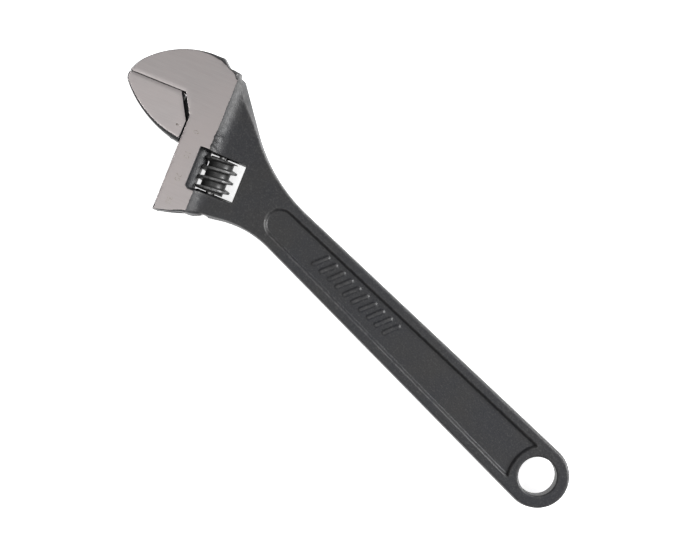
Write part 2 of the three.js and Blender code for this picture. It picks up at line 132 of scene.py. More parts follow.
def fillet(before, corner, after, radius, step=0.6):
    """The arc that rounds a corner: it touches both sides, and its centre is on their bisector."""
    before, corner, after = (np.asarray(spot, float) for spot in (before, corner, after))
    back = (before - corner) / np.linalg.norm(before - corner)
    onward = (after - corner) / np.linalg.norm(after - corner)
    half = np.arccos(back @ onward) / 2
    bisector = (back + onward) / np.linalg.norm(back + onward)
    centre = corner + bisector * radius / np.sin(half)
    start = corner + back * radius / np.tan(half) - centre
    side = np.sign(start[0] * bisector[1] - start[1] * bisector[0])
    first = np.degrees(np.arctan2(start[1], start[0]))
    return arc(centre, radius, first, first - side * np.degrees(np.pi - 2 * half), step)


def crossing(p, p_way, q, q_way):
    """Where the line through p meets the line through q."""
    t = np.linalg.solve(np.stack([p_way, -q_way], axis=1), np.asarray(q) - np.asarray(p))
    return np.asarray(p) + t[0] * p_way


def chained(*strokes):
    """Strokes end to end as one chain, straight stretches cut into short steps."""
    points = np.concatenate(strokes)
    keep = np.ones(len(points), bool)
    keep[1:] = np.linalg.norm(np.diff(points, axis=0), axis=1) > 1e-6
    points = points[keep]
    parts = [straight(a, b)[:-1] for a, b in zip(points[:-1], points[1:])]
    return np.concatenate([*parts, points[-1:]])


# %% Distances and offsets
CHUNK = 3000


def distance_to(spots, chain):
    """Distance from each spot to a chain: the nearest point of each segment, and the least of all."""
    a, way = chain[:-1], np.diff(chain, axis=0)
    length2 = (way**2).sum(axis=1)
    found = np.empty(len(spots))
    for start in range(0, len(spots), CHUNK):
        away = spots[start : start + CHUNK, None, :] - a[None]
        share = np.clip((away * way).sum(axis=2) / length2, 0, 1)
        gap = away - share[..., None] * way
        found[start : start + CHUNK] = np.sqrt((gap**2).sum(axis=2).min(axis=1))
    return found


def inside(spots, loop):
    """True inside a closed loop: a ray to the right crosses it an odd number of times."""
    a, b = loop, np.roll(loop, -1, axis=0)
    rise = np.where(a[:, 1] == b[:, 1], 1e-12, b[:, 1] - a[:, 1])
    odd = np.empty(len(spots), bool)
    for start in range(0, len(spots), CHUNK):
        x, y = spots[start : start + CHUNK, :1], spots[start : start + CHUNK, 1:]
        straddles = (a[:, 1] > y) != (b[:, 1] > y)
        meets = a[:, 0] + (y - a[:, 1]) / rise * (b[:, 0] - a[:, 0])
        odd[start : start + CHUNK] = (straddles & (x < meets)).sum(axis=1) % 2 == 1
    return odd


def beside(chain, offset, closed=False):
    """A chain moved sideways to its left: each point goes along the mean of its two normals."""
    before, after = np.roll(chain, 1, axis=0), np.roll(chain, -1, axis=0)
    if not closed:
        before[0], after[-1] = chain[0], chain[-1]
    way = after - before
    way /= np.linalg.norm(way, axis=1)[:, None]
    return chain + np.stack([-way[:, 1], way[:, 0]], axis=1) * np.asarray(offset).reshape(-1, 1)


# %% [markdown]
# ## Meshes from arrays
#
# A plate-like forging can be described by one function: how high its skin stands over the
# mid-plane at each point of the plan. A height function alone would need a very fine grid to be
# sharp at an edge. So the plan is divided into triangles that follow every edge, the height is
# worked out at their corners, and the same sheet is mirrored for the lower side.

# %% From arrays to a mesh
def make_piece(name, points, faces):
    """A mesh object from handle-frame points in millimetres and an array of triangles. The
    signed volume, a sum of corner products, says whether the faces have to be turned out."""
    a, b, c = (points[faces[:, k]] for k in range(3))
    if (a * np.cross(b, c)).sum() < 0:
        faces = faces[:, ::-1]
    mesh = bpy.data.meshes.new(name)
    mesh.vertices.add(len(points))
    mesh.vertices.foreach_set("co", ((points + origin) * MM).astype(np.float32).ravel())
    mesh.loops.add(faces.size)
    mesh.loops.foreach_set("vertex_index", faces.astype(np.int32).ravel())
    mesh.polygons.add(len(faces))
    mesh.polygons.foreach_set("loop_start", np.arange(0, faces.size, 3, dtype=np.int32))
    mesh.polygons.foreach_set("loop_total", np.full(len(faces), 3, np.int32))
    mesh.update(calc_edges=True)
    mesh.validate()
    piece = bpy.data.objects.new(name, mesh)
    bpy.context.scene.collection.objects.link(piece)
    return piece


def spots_of(piece):
    """The points of a mesh, back in the handle frame and in millimetres."""
    co = np.empty(len(piece.data.vertices) * 3, np.float32)
    piece.data.vertices.foreach_get("co", co)
    return co.reshape(-1, 3) / MM - origin


def plan_triangles(chains, scattered, wanted):
    """Triangles of the plan that have every chain among their edges, where wanted is true."""
    spots, edges, count = [scattered], [], len(scattered)
    for chain, closed in chains:
        ring = np.arange(len(chain)) + count
        edges.append(np.stack([ring, np.roll(ring, -1)], axis=1)[: None if closed else -1])
        spots.append(chain)
        count += len(chain)
    given = [Vector(spot) for spot in np.concatenate(spots).tolist()]
    made = delaunay_2d_cdt(given, np.concatenate(edges).tolist(), [], 0, 1e-5, False)
    flat, triangles = np.array([tuple(spot) for spot in made[0]]), np.array(made[2])
    triangles = triangles[wanted(flat[triangles].mean(axis=1))]
    a, b, c = (flat[triangles[:, k]] for k in range(3))
    turn = (b - a)[:, 0] * (c - a)[:, 1] - (b - a)[:, 1] * (c - a)[:, 0]
    triangles[turn < 0] = triangles[turn < 0][:, ::-1]
    triangles = triangles[np.abs(turn) > 1e-9]
    used, small = np.unique(triangles, return_inverse=True)
    return flat[used], small.reshape(-1, 3)


def on_rim(triangles, count):
    """True for points on the sheet's own border: those of edges that only one triangle has."""
    edges = np.concatenate([triangles[:, [0, 1]], triangles[:, [1, 2]], triangles[:, [2, 0]]])
    pairs, uses = np.unique(np.sort(edges, axis=1), axis=0, return_counts=True)
    rim = np.zeros(count, bool)
    rim[pairs[uses == 1].ravel()] = True
    return rim


def mirrored_sheets(name, flat, triangles, height):
    """Upper sheet at height, lower sheet at minus height, joined along the rim, where it is 0.
    Triangles with all corners on the rim would be flat in both sheets, so they are left out."""
    triangles = triangles[~on_rim(triangles, len(flat))[triangles].all(axis=1)]
    used, small = np.unique(triangles, return_inverse=True)
    flat, height, triangles = flat[used], height[used], small.reshape(-1, 3)
    rim = on_rim(triangles, len(flat))
    height = np.where(rim, 0, height)
    lower = np.arange(len(flat))
    lower[~rim] = len(flat) + np.arange((~rim).sum())
    upper = np.column_stack([flat, height])
    under = np.column_stack([flat, -height])[~rim]
    faces = np.concatenate([triangles, lower[triangles][:, ::-1]])
    return make_piece(name, np.concatenate([upper, under]), faces)


# %% Surfaces on a grid, and turned shapes
def grid_faces(rows, columns, close_columns):
    """Two triangles for each cell of a grid, the last column joined to the first where asked."""
    index = np.arange(rows * columns).reshape(rows, columns)
    right = np.roll(index, -1, axis=1)
    span = columns if close_columns else columns - 1
    a, b = index[:-1, :span].ravel(), right[:-1, :span].ravel()
    c, d = right[1:, :span].ravel(), index[1:, :span].ravel()
    return np.concatenate([np.stack([a, b, c], 1), np.stack([a, c, d], 1)])


def turned(profile, columns):
    """A profile of radius and height carried round the axis, with a point at each end."""
    profile = np.asarray(profile, float)
    middle = profile[1:-1]
    turn = np.linspace(0, 2 * np.pi, columns, endpoint=False)
    ring = np.stack([np.cos(turn), np.sin(turn)], axis=1)
    body = np.concatenate([
        middle[:, None, :1] * ring[None],
        np.broadcast_to(middle[:, None, 1:], (len(middle), columns, 1)),
    ], axis=2).reshape(-1, 3)
    faces = grid_faces(len(middle), columns, True)
    low, high, last = len(body), len(body) + 1, len(body) - columns
    here = np.arange(columns)
    after = np.roll(here, -1)
    caps = [
        np.stack([np.full(columns, low), after, here], 1),
        np.stack([np.full(columns, high), last + here, last + after], 1),
    ]
    ends = [[0, 0, profile[0, 1]], [0, 0, profile[-1, 1]]]
    return np.concatenate([body, ends]), np.concatenate([faces, *caps])


def along_axis(points, u):
    """Points round a local z, laid so that z runs along v at that u of the head."""
    flat = from_head(np.stack([u + points[:, 0], points[:, 2]], axis=1))
    return np.column_stack([flat, -points[:, 1]])


def prism(section, low_v, high_v):
    """A section of (u, z) corners carried along v: a bar with flat ends."""
    section = np.asarray(section, float)
    count = len(section)
    ends = [np.column_stack([from_head(np.column_stack([section[:, 0], np.full(count, v)])),
                             section[:, 1]]) for v in (low_v, high_v)]
    here = np.arange(count)
    after = np.roll(here, -1)
    sides = [np.stack([here, here + count, after], 1),
             np.stack([after, here + count, after + count], 1)]
    fan = np.stack([np.zeros(count - 2, int), here[1:-1], here[2:]], 1)
    return np.concatenate(ends), np.concatenate([*sides, fan, fan[:, ::-1] + count])


def combine(piece, tool, operation):
    """Joins, cuts or trims a piece with a tool by the Boolean modifier, and applies it."""
    step = piece.modifiers.new("step", "BOOLEAN")
    step.operation = operation
    step.solver = "MANIFOLD"
    step.object = tool
    graph = bpy.context.evaluated_depsgraph_get()
    result = bpy.data.meshes.new_from_object(piece.evaluated_get(graph))
    piece.modifiers.clear()
    piece.data = result
    bpy.data.objects.remove(tool)


def show_edges(piece, degrees=32):
    """Smooth shading everywhere but across edges that turn by more than the given angle."""
    piece.data.polygons.foreach_set("use_smooth", np.ones(len(piece.data.polygons), bool))
    piece.data.set_sharp_from_angle(angle=np.radians(degrees))


def attribute(piece, name, values):
    """A number for each point of the mesh, which a material can read by its name."""
    field = piece.data.attributes.new(name, "FLOAT", "POINT")
    field.data.foreach_set("value", np.asarray(values, np.float32))


# %% [markdown]
# ## How a forged edge climbs
#
# A forging die opens at the mid-plane, so the sides of the forging lean in from there, and the
# parting line keeps a narrow band where the flash was ground off. Above the side, a rounded
# shoulder leads to the broad face. Machined edges have the same parts with hardly any lean and
# a hair of a chamfer, so one function serves both.

# %% The climb from an edge to a face
PARTING_SHARE = 0.05
PARTING_HEIGHT = 0.18


def climb(distance, top, lean, radius):
    """Height at a distance inside an edge: a leaning side to radius under the top, then a
    quarter circle. The side's first steep bit is the parting band."""
    side = np.interp(distance / lean, [0, PARTING_SHARE, 1], [0, PARTING_HEIGHT, 1])
    turn = np.clip((distance - lean) / radius, 0, 1)
    return side * (top - radius) + radius * np.sqrt(1 - (1 - turn) ** 2)


def climb_offsets(lean, radius):
    """Distances at which the mesh follows the climb: its corners and steps round the shoulder.
    There is a row for each distance and a column for each radius."""
    lean, radius = np.broadcast_arrays(np.atleast_1d(lean), np.atleast_1d(radius))
    steps = 1 - np.cos(np.radians([0, 14, 28, 42, 56, 70, 84]))
    return np.array([PARTING_SHARE * lean, *(lean + steps[:, None] * radius), lean + 1.3 * radius])


def eased(x):
    """0 to 1 with a soft start and end: three squares less two cubes."""
    x = np.clip(x, 0, 1)
    return x * x * (3 - 2 * x)


def steep_eased(x):
    """0 to 1 with a steeper middle: x cubed times 10 less 15 x plus 6 x squared."""
    x = np.clip(x, 0, 1)
    return x**3 * (10 - 15 * x + 6 * x * x)


# %% [markdown]
# ## Outline of the forging
#
# Seen from above, the body is a tapered handle with a round end, two wide fillets that carry it
# into the head, a fixed jaw made of two arcs, and the straight machined edges of the mouth. The
# forged and the machined stretches are kept apart, because their sides differ.

# %% Sizes of the body
HANDLE_END_RADIUS = 13.5
HANDLE_TAPER = 1.126
HALF_HANDLE = 4.4
HALF_HEAD = (CAD_BOX[1].z - CAD_BOX[0].z) / 2 / MM
SLIDE_END_V = 49.7
THROAT_V = 8.5
THROAT_U = THROAT_V / np.tan(np.radians(60))
BACK = np.array([-15.5, -13.3])
CHIN = np.array([-12.2, 46.2])
BACK_EDGE_ANGLE, CHIN_EDGE_ANGLE = -53.3, 9.5
FLASH_STEPS = [[-15.5, -13.3], [-13.2, -14.3], [-12.9, -15.8], [-10.2, -16.1], [-8.4, -16.0],
               [-6.4, -17.6], [-4.6, -19.2], [-1.7, -19.1]]
CHIN_STEPS = [[0, 49.2], [-6.6, 48.2], [-11.6, 46.6], [-15.0, 46.2], [-18.3, 45.5],
              [-19.4, 44.8], [-24.0, 44.2]]
JAW_BACK_TOP, JAW_BACK_RADIUS = np.array([-1.7, -19.1]), 37.5
JAW_TIP_RADIUS, JAW_TIP_TURN = 16.8, -42.7
BACK_NECK_RADIUS, CHIN_NECK_RADIUS, HEEL_RADIUS, STEP_RADIUS = 70, 40, 0.6, 0.5

# %% Strokes of the body's outline
back_centre = JAW_BACK_TOP + [0, JAW_BACK_RADIUS]
tip_centre = back_centre + heading(JAW_TIP_TURN) * (JAW_BACK_RADIUS - JAW_TIP_RADIUS)
tip_end = np.degrees(np.arcsin(-tip_centre[1] / JAW_TIP_RADIUS))
jaw_length = tip_centre[0] + JAW_TIP_RADIUS * np.cos(np.radians(tip_end))

side_y = HANDLE_END_RADIUS / np.cos(np.radians(HANDLE_TAPER))
back_far, chin_far = np.array([0, -side_y]), np.array([0, side_y])
back_end, chin_end = from_head(BACK), from_head(CHIN)
back_neck = crossing(back_far, heading(HANDLE_TAPER), back_end,
                     heading(HEAD_ANGLE + BACK_EDGE_ANGLE))
chin_neck = crossing(chin_far, heading(-HANDLE_TAPER), chin_end,
                     heading(HEAD_ANGLE + CHIN_EDGE_ANGLE))
throat, heel = from_head([0, THROAT_V]), from_head([0, SLIDE_END_V])
chin_corners = from_head(CHIN_STEPS)
heel_arc = fillet(throat, heel, chin_corners[1], HEEL_RADIUS, 0.3)


def rounded(corners):
    """A broken line with every inner corner rounded, for the remains of trimmed flash."""
    inner = [fillet(a, b, c, STEP_RADIUS, 0.2)
             for a, b, c in zip(corners[:-2], corners[1:-1], corners[2:])]
    return np.concatenate([corners[:1], *inner, corners[-1:]])



back_stroke = chained(
    fillet(back_far, back_neck, back_end, BACK_NECK_RADIUS),
    rounded(from_head(FLASH_STEPS)),
    from_head(arc(back_centre, JAW_BACK_RADIUS, -90, JAW_TIP_TURN)),
    from_head(arc(tip_centre, JAW_TIP_RADIUS, JAW_TIP_TURN, tip_end, 0.4)),
)
mouth_stroke = chained(back_stroke[-1:], from_head([[THROAT_U, 0], [0, THROAT_V]]), heel_arc)
chin_stroke = chained(
    heel_arc[-1:],
    rounded(chin_corners)[1:],
    fillet(chin_end, chin_neck, chin_far, CHIN_NECK_RADIUS),
    arc([0, 0], HANDLE_END_RADIUS, 90 - HANDLE_TAPER, 270 + HANDLE_TAPER),
    back_stroke[:1],
)
body_outline = np.concatenate([back_stroke[:-1], mouth_stroke[:-1], chin_stroke[:-1]])
print("outline of", len(body_outline), "points, fixed jaw", round(float(jaw_length), 2), "mm long")

# %% [markdown]
# ## Panel, window and hanging hole
#
# The handle has a shallow panel in each face, which saves weight and stiffens the grip like an
# I-beam. Its edge is described by a signed distance, below zero inside. The window that the worm
# turns in is a rectangle with leaning walls, and the hanging hole is a circle.

# %% Signed distances of the openings and the panel
HOLE_RADIUS, HOLE_EDGE_RADIUS = 7.9, 0.9
PANEL_DEPTH, PANEL_RIM, PANEL_HOLE_RIM = 1.3, 4.4, 3.4
PANEL_NEAR_RADIUS, PANEL_HEAD_GAP, PANEL_CORNER = 16, 54.3, 0.6
WINDOW_U, WINDOW_V = (-28.6, -9.8), (19.2, 34.7)
WINDOW_LEAN = ((1.0, 0.8), (0.9, 1.5))
WINDOW_LIP, WINDOW_SQUARE = 0.25, 8

panel_inset = HANDLE_END_RADIUS - PANEL_RIM
panel_sine = np.sin(np.radians(HANDLE_TAPER))
panel_far_x = (head_origin[0] - PANEL_HEAD_GAP - panel_inset) / (1 - panel_sine)
panel_far_radius = panel_inset - panel_far_x * panel_sine
panel_near_x = HOLE_RADIUS + PANEL_HOLE_RIM - PANEL_NEAR_RADIUS


def hole_distance(spots):
    """Distance from the hole's edge: the distance from its centre less its radius."""
    return np.linalg.norm(spots, axis=1) - HOLE_RADIUS


def window_distance(spots):
    """How far up the leaning walls a spot lies: 0 on the waist's outline, 1 at full height. Each
    pair of walls has its own leans, and a high power of both keeps the corners nearly square."""
    overs = []
    for along, reach, lean in zip(to_head(spots), (WINDOW_U, WINDOW_V), WINDOW_LEAN):
        overs.append(np.maximum((reach[0] - along) / lean[0], (along - reach[1]) / lean[1]))
    outside = (np.maximum(overs, 0) ** WINDOW_SQUARE).sum(axis=0) ** (1 / WINDOW_SQUARE)
    return np.where(outside > 0, outside, np.maximum(*overs))


def panel_distance(spots):
    """The tapered strip with a round end, less the circle round the hole. Where both are near,
    their corner is rounded by the length of the two overlaps together."""
    x, y = spots[:, 0], np.abs(spots[:, 1])
    share = np.clip((x - y * np.tan(np.radians(HANDLE_TAPER))) / panel_far_x, -1, 1)
    strip = np.hypot(x - share * panel_far_x, y) - (panel_inset - share * panel_far_x * panel_sine)
    near = PANEL_NEAR_RADIUS - np.hypot(x - panel_near_x, y)
    over = np.hypot(np.maximum(strip + PANEL_CORNER, 0), np.maximum(near + PANEL_CORNER, 0))
    return over + np.minimum(np.maximum(strip, near) + PANEL_CORNER, 0) - PANEL_CORNER


# %% Lines for the mesh to follow round them
def on_level(distance, ring, level):
    """Slides points onto the line where a distance function has a value: a few steps straight
    down its slope, which is measured between near neighbours."""
    spots, reach = ring.copy(), 0.01
    for _ in range(5):
        slope = np.stack([distance(spots + step) - distance(spots - step)
                          for step in (np.array([reach, 0]), np.array([0, reach]))], axis=1)
        slope /= 2 * reach
        steep = np.maximum((slope**2).sum(axis=1), 0.3)
        spots -= ((distance(spots) - level) / steep)[:, None] * slope
    return spots


window_corners = [[u, v] for u, v in zip(np.repeat(WINDOW_U, 2)[[0, 2, 3, 1]],
                                         np.tile(WINDOW_V, 2)[[0, 0, 1, 1]])]
window_loop = from_head(window_corners)
window_loop = np.concatenate([straight(a, b, 0.45)[:-1]
                              for a, b in zip(window_loop, np.roll(window_loop, -1, axis=0))])

panel_turn = np.degrees(np.arcsin(panel_inset / PANEL_NEAR_RADIUS)) - 2
near_arc = arc([panel_near_x, 0], PANEL_NEAR_RADIUS, panel_turn, -panel_turn, 0.4)
panel_end = arc([panel_far_x, 0], panel_far_radius, HANDLE_TAPER - 90, 90 - HANDLE_TAPER, 0.5)
panel_loop = chained(near_arc, panel_end, near_arc[:1])[:-1]
hole_loop = arc([0, 0], HOLE_RADIUS, 0, 360, 0.55)[:-1]


# %% [markdown]
# ## A raised mark in the panel
#
# Size marks on such handles stand proud of the panel's floor. Here the mark is a plain row of
# slanted bars with rounded tops, made by the same height function, so it is one with the skin.

# %% Slanted bars in the panel
BAR_COUNT, BAR_PITCH, BAR_START_X = 10, 4.5, 84.0
BAR_LOW_Y, BAR_HIGH_Y, BAR_SLANT = -3.6, 2.0, 2.4
BAR_RADIUS, BAR_SLOPE, BAR_RELIEF = 0.75, 0.7, 0.4

bar_feet = np.stack([BAR_START_X + BAR_PITCH * np.arange(BAR_COUNT),
                     np.full(BAR_COUNT, BAR_LOW_Y)], axis=1)
bar_tips = bar_feet + [BAR_SLANT, BAR_HIGH_Y - BAR_LOW_Y]


def bar_distance(spots):
    """Distance from the nearest bar's edge: from its middle line, less the bar's radius."""
    way = bar_tips[0] - bar_feet[0]
    away = spots[:, None, :] - bar_feet[None]
    share = np.clip(away @ way / (way @ way), 0, 1)
    return np.linalg.norm(away - share[..., None] * way, axis=2).min(axis=1) - BAR_RADIUS


bar_turn = np.degrees(np.arctan2(*(bar_tips[0] - bar_feet[0])[::-1]))
bar_loops = [chained(arc(foot, BAR_RADIUS, bar_turn + 90, bar_turn + 270, 0.3),
                     arc(tip, BAR_RADIUS, bar_turn - 90, bar_turn + 90, 0.3),
                     arc(foot, BAR_RADIUS, bar_turn + 90, bar_turn + 270, 0.3)[:1])[:-1]
             for foot, tip in zip(bar_feet, bar_tips)]

# %% [markdown]
# ## Height of the body's skin
#
# The broad faces have two levels: the head, ground flat, and the thinner neck and handle. A
# hollow shoulder joins them. Everything else takes height away: the panel, the climb at each
# edge, and a slow waviness with a few pits, because a hammered surface is never quite flat.

# %% Levels of the broad faces
GROUND_DEPTH = 12.9
SHOULDER_KNEE, SHOULDER_LENGTH = 2.6, 7.2
LIP_WIDTH, LIP_START = 1.9, 0.75


def face_level(u):
    """Head height ahead of the shoulder, handle height behind it, and between them a parabola
    that leaves the head steeply and runs out flat: two square roots give its slope."""
    back = np.clip(-GROUND_DEPTH - u, 0, SHOULDER_LENGTH)
    bend = SHOULDER_LENGTH - 2 * SHOULDER_KNEE
    share = (np.sqrt(SHOULDER_KNEE**2 + bend * back) - SHOULDER_KNEE) / bend
    return HALF_HANDLE + (HALF_HEAD - HALF_HANDLE) * (1 - share) ** 2


def waviness(spots):
    """Slow hammered unevenness: a few long waves that cross at different angles."""
    x, y = spots[:, 0], spots[:, 1]
    waves = np.sin(0.21 * x + 0.5 * y) + np.sin(0.47 * x - 0.31 * y + 1.3)
    return (waves + 0.7 * np.sin(0.83 * x + 0.77 * y + 0.4) + 0.5 * np.sin(1.4 * y - 0.9 * x)) / 3.2


WAVE_DEPTH = 0.045
PITS = np.array([[-13.2, 16.6, 0.7, 0.7], [-13.5, 14.4, 0.6, 0.8], [-13.1, 12.4, 0.6, 0.7],
                 [-13.2, 10.6, 0.4, 0.4], [-14.6, 17.4, 0.7, 0.4], [-15.1, 11.9, 0.9, 0.3],
                 [-33.5, 9.0, 2.0, 0.1], [-30.2, 41.5, 1.6, 0.1], [-44.0, 20.0, 2.6, 0.1]])


def pit_depth(spots):
    """Small dents in the skin, each a bell curve of its own width and depth."""
    u, v = to_head(spots)
    away2 = (u[:, None] - PITS[:, 0]) ** 2 + (v[:, None] - PITS[:, 1]) ** 2
    return (PITS[:, 3] * np.exp(-away2 / PITS[:, 2] ** 2)).sum(axis=1)


# %% Edge sizes along the outline
MACHINED_LEAN, MACHINED_EDGE = 0.03, 0.18


def back_lean(spots):
    """Lean of the back's side: hardly any on the handle, a broad wall where the neck begins."""
    u, _ = to_head(spots)
    return np.interp(u, [-45, -29, -24.6, -18, -14.5, -13], [0.35, 0.6, 1.1, 2.1, 1.5, 0.4])


def back_radius(spots):
    """Shoulder radius of the back: crisp on the neck, broad where the flash was trimmed."""
    u, _ = to_head(spots)
    return np.interp(u, [-75, -29, -15, -13, -11, -8.8, -6.6, -4, 1, 8],
                     [1.1, 0.6, 0.5, 2.0, 1.9, 0.6, 0.8, 1.9, 0.9, 0.35])


def chin_lean(spots):
    """Lean of the chin's side."""
    u, _ = to_head(spots)
    return np.interp(u, [-40, -20, -12, 0], [0.35, 0.9, 0.5, 0.2])


def chin_radius(spots):
    """Shoulder radius of the chin and of the handle's lower side."""
    u, _ = to_head(spots)
    return np.interp(u, [-75, -45, -18, -12, 0], [1.1, 1.3, 1.3, 1.0, 0.25])


def body_height(spots):
    """The level of the face, less panel, dents and waves, and never above any edge's climb."""
    u, _ = to_head(spots)
    top = face_level(u)
    forged = 1 - eased((u + GROUND_DEPTH + 0.6) / 0.6)
    lip = steep_eased((LIP_START - panel_distance(spots)) / LIP_WIDTH)
    bars = eased((BAR_SLOPE - bar_distance(spots)) / BAR_SLOPE / 1.6)
    relief = BAR_RELIEF * bars - PANEL_DEPTH * lip
    relief += forged * (WAVE_DEPTH * waviness(spots) - pit_depth(spots))
    edges = [
        (distance_to(spots, back_stroke), back_lean(spots), back_radius(spots)),
        (distance_to(spots, chin_stroke), chin_lean(spots), chin_radius(spots)),
        (distance_to(spots, mouth_stroke), MACHINED_LEAN, MACHINED_EDGE),
        (hole_distance(spots), MACHINED_LEAN, HOLE_EDGE_RADIUS),
        (window_distance(spots), (top - WINDOW_LIP) / HALF_HEAD, WINDOW_LIP),
    ]
    skin = top + relief
    for away, lean, edge in edges:
        share = np.clip((away - lean) / edge, 0, 1)
        skin = np.minimum(skin, climb(away, top, lean, edge) + share * relief)
    return np.maximum(skin, 0.01)


# %% Triangles of the body's plan
def on_body(spots):
    """True on metal: inside the outline and outside the hole and the window."""
    return inside(spots, body_outline) & (hole_distance(spots) > 0) & (window_distance(spots) > 0)


def scattered_over(loop, pitch, keep_off):
    """Even rows of points inside a loop, every other row shifted, and none too near a line."""
    low, high = loop.min(axis=0), loop.max(axis=0)
    x, y = np.meshgrid(np.arange(low[0], high[0], pitch), np.arange(low[1], high[1], pitch))
    x[::2] += pitch / 2
    spots = np.stack([x.ravel(), y.ravel()], axis=1)
    return spots[keep_off(spots)]


def clear_of_lines(spots):
    """True where a free point is useful: on metal, and not inside the bands of close lines."""
    back_band = back_lean(spots) + 1.3 * back_radius(spots) + 0.3
    chin_band = chin_lean(spots) + 1.3 * chin_radius(spots) + 0.3
    return (on_body(spots)
            & (distance_to(spots, back_stroke) > back_band)
            & (distance_to(spots, chin_stroke) > chin_band)
            & (distance_to(spots, mouth_stroke) > 0.6)
            & (hole_distance(spots) > 1.5) & (window_distance(spots) > 1.9)
            & (np.abs(panel_distance(spots) + 0.2) > 1.3) & (bar_distance(spots) > 0.9))


def lines_beside(stroke, lean, radius):
    """Open lines inside an edge, at the distances where its climb bends."""
    return [(beside(stroke, row), False) for row in climb_offsets(lean, radius)]


body_chains = [(body_outline, True), (hole_loop, True), (window_loop, True)]
body_chains += lines_beside(back_stroke, back_lean(back_stroke), back_radius(back_stroke))
body_chains += lines_beside(chin_stroke, chin_lean(chin_stroke), chin_radius(chin_stroke))
body_chains += lines_beside(mouth_stroke, MACHINED_LEAN, MACHINED_EDGE)[:4:2]
body_chains += [(on_level(hole_distance, hole_loop, row[0]), True)
                for row in climb_offsets(MACHINED_LEAN, HOLE_EDGE_RADIUS)]
body_chains += [(on_level(window_distance, window_loop, level), True)
                for level in (0.05, 0.3, 0.52, 0.54, 0.58, 0.66, 0.77, 0.96, 0.99, 1.05, 1.2, 1.5)]
body_chains += [(on_level(panel_distance, panel_loop, level), True)
                for level in LIP_START - LIP_WIDTH * np.linspace(0, 1, 12)]
body_chains += [(on_level(bar_distance, loop, level), True)
                for loop in bar_loops for level in (-0.45, -0.2, 0.05, 0.3, 0.5, 0.7)]
for back in (-0.3, 0, 0.15, 0.5, 1, 1.6, 2.4, 3.3, 4.4, 5.7, SHOULDER_LENGTH):
    ends = [from_head([-GROUND_DEPTH - back, v]) for v in (-25, 55)]
    body_chains.append((straight(*ends, 0.7), False))

free_spots = scattered_over(body_outline, 1.0, clear_of_lines)
body_plan, body_triangles = plan_triangles(body_chains, free_spots, on_body)
body = mirrored_sheets("wrench_body", body_plan, body_triangles, body_height(body_plan))
print("body skin:", len(body.data.vertices), "points,", len(body.data.polygons), "triangles")

# %% [markdown]
# ## Machined cuts in the body
#
# A round bore for the jaw's bar runs through the head and is open at the chin; a slot joins it
# to the slide face, and a smaller bore takes the worm's pin. They are true cuts, made as a
# machinist would, with tools of the right section.

# %% Bore, slot and pin hole
FIT = 0.3
BAR_AXIS_U, BAR_BORE_RADIUS = -8.3, 5.3
WEB_HALF = 2.6
PIN_RADIUS, PIN_HEAD_RADIUS = 2.0, 2.9
PIN_TIP_V = WINDOW_V[0] - 6.7
chin_at_pin = CHIN[1] + (WORM_AXIS_U - CHIN[0]) * np.tan(np.radians(CHIN_EDGE_ANGLE))
PIN_TOP_V = chin_at_pin - 0.9
PIN_SHOULDER_V = PIN_TOP_V - 2.8
BEYOND = 6

bore_points, bore_faces = turned(
    [[0, -4.8], [BAR_BORE_RADIUS, -4.8], [BAR_BORE_RADIUS, SLIDE_END_V + BEYOND],
     [0, SLIDE_END_V + BEYOND]], 96)
combine(body, make_piece("bore", along_axis(bore_points, BAR_AXIS_U), bore_faces), "DIFFERENCE")

slot_half, slot_break = WEB_HALF + FIT, 0.25
slot_section = [[BAR_AXIS_U, -slot_half], [BEYOND, -slot_half], [BEYOND, slot_half],
                [BAR_AXIS_U, slot_half]]
break_section = [[-slot_break, -slot_half], [1, -slot_half - slot_break - 1],
                 [1, slot_half + slot_break + 1], [-slot_break, slot_half]]
for section, start in ((slot_section, -FIT), (break_section, THROAT_V)):
    slot_points, slot_faces = prism(section, start, SLIDE_END_V + BEYOND)
    combine(body, make_piece("slot", slot_points, slot_faces), "DIFFERENCE")

pin_bore, head_bore = PIN_RADIUS + 0.15, PIN_HEAD_RADIUS + 0.2
pin_hole_points, pin_hole_faces = turned(
    [[0, PIN_TIP_V - FIT], [pin_bore, PIN_TIP_V - FIT], [pin_bore, PIN_SHOULDER_V - FIT],
     [head_bore, PIN_SHOULDER_V - FIT], [head_bore, chin_at_pin + BEYOND],
     [0, chin_at_pin + BEYOND]], 64)
combine(body, make_piece("pin_hole", along_axis(pin_hole_points, WORM_AXIS_U), pin_hole_faces),
        "DIFFERENCE")
show_edges(body)
print("body after the cuts:", len(body.data.polygons), "triangles")

# %% [markdown]
# ## What the finish has to know about the surface
#
# The wrench was blackened first and then ground, so the bright face ends where the forging dips
# under the grinding wheel. A material can't measure that, so each point carries three numbers:
# how far inside the ground area it lies, in millimetres, how much lighter and more metallic the
# skin is painted there, and how much the scale has flaked there. The lighter paint is partly the
# wear of hands and pegs at edges that stand out, and partly painted highlight: lines along the
# edges and the parting band, strongest on the back edge that faces the light, and a painted
# reflection on the shoulder next to the ground face. Each such line is a bell curve across an
# edge, set by where it lies, how wide it is and how strong it is.

# %% Numbers for the body's finish
def bell(x, width):
    """1 at zero, falling away on both sides within the width."""
    return np.exp(-((x / width) ** 2))


def record_finish(piece, bare, wear_and_sheen, flaked):
    """Stores the three numbers on the mesh."""
    attribute(piece, "bare", bare)
    attribute(piece, "wear_and_sheen", np.clip(wear_and_sheen, 0, 1))
    attribute(piece, "flaked", flaked)


THROAT_RIM, THROAT_REACH = 0.04, 2.2


def in_throat(spots, u, half):
    """True on the unground walls of the throat, which lie under the faces and near the corner."""
    return (np.abs(spots[:, 2]) < half - THROAT_RIM) & (u < THROAT_U + THROAT_REACH)


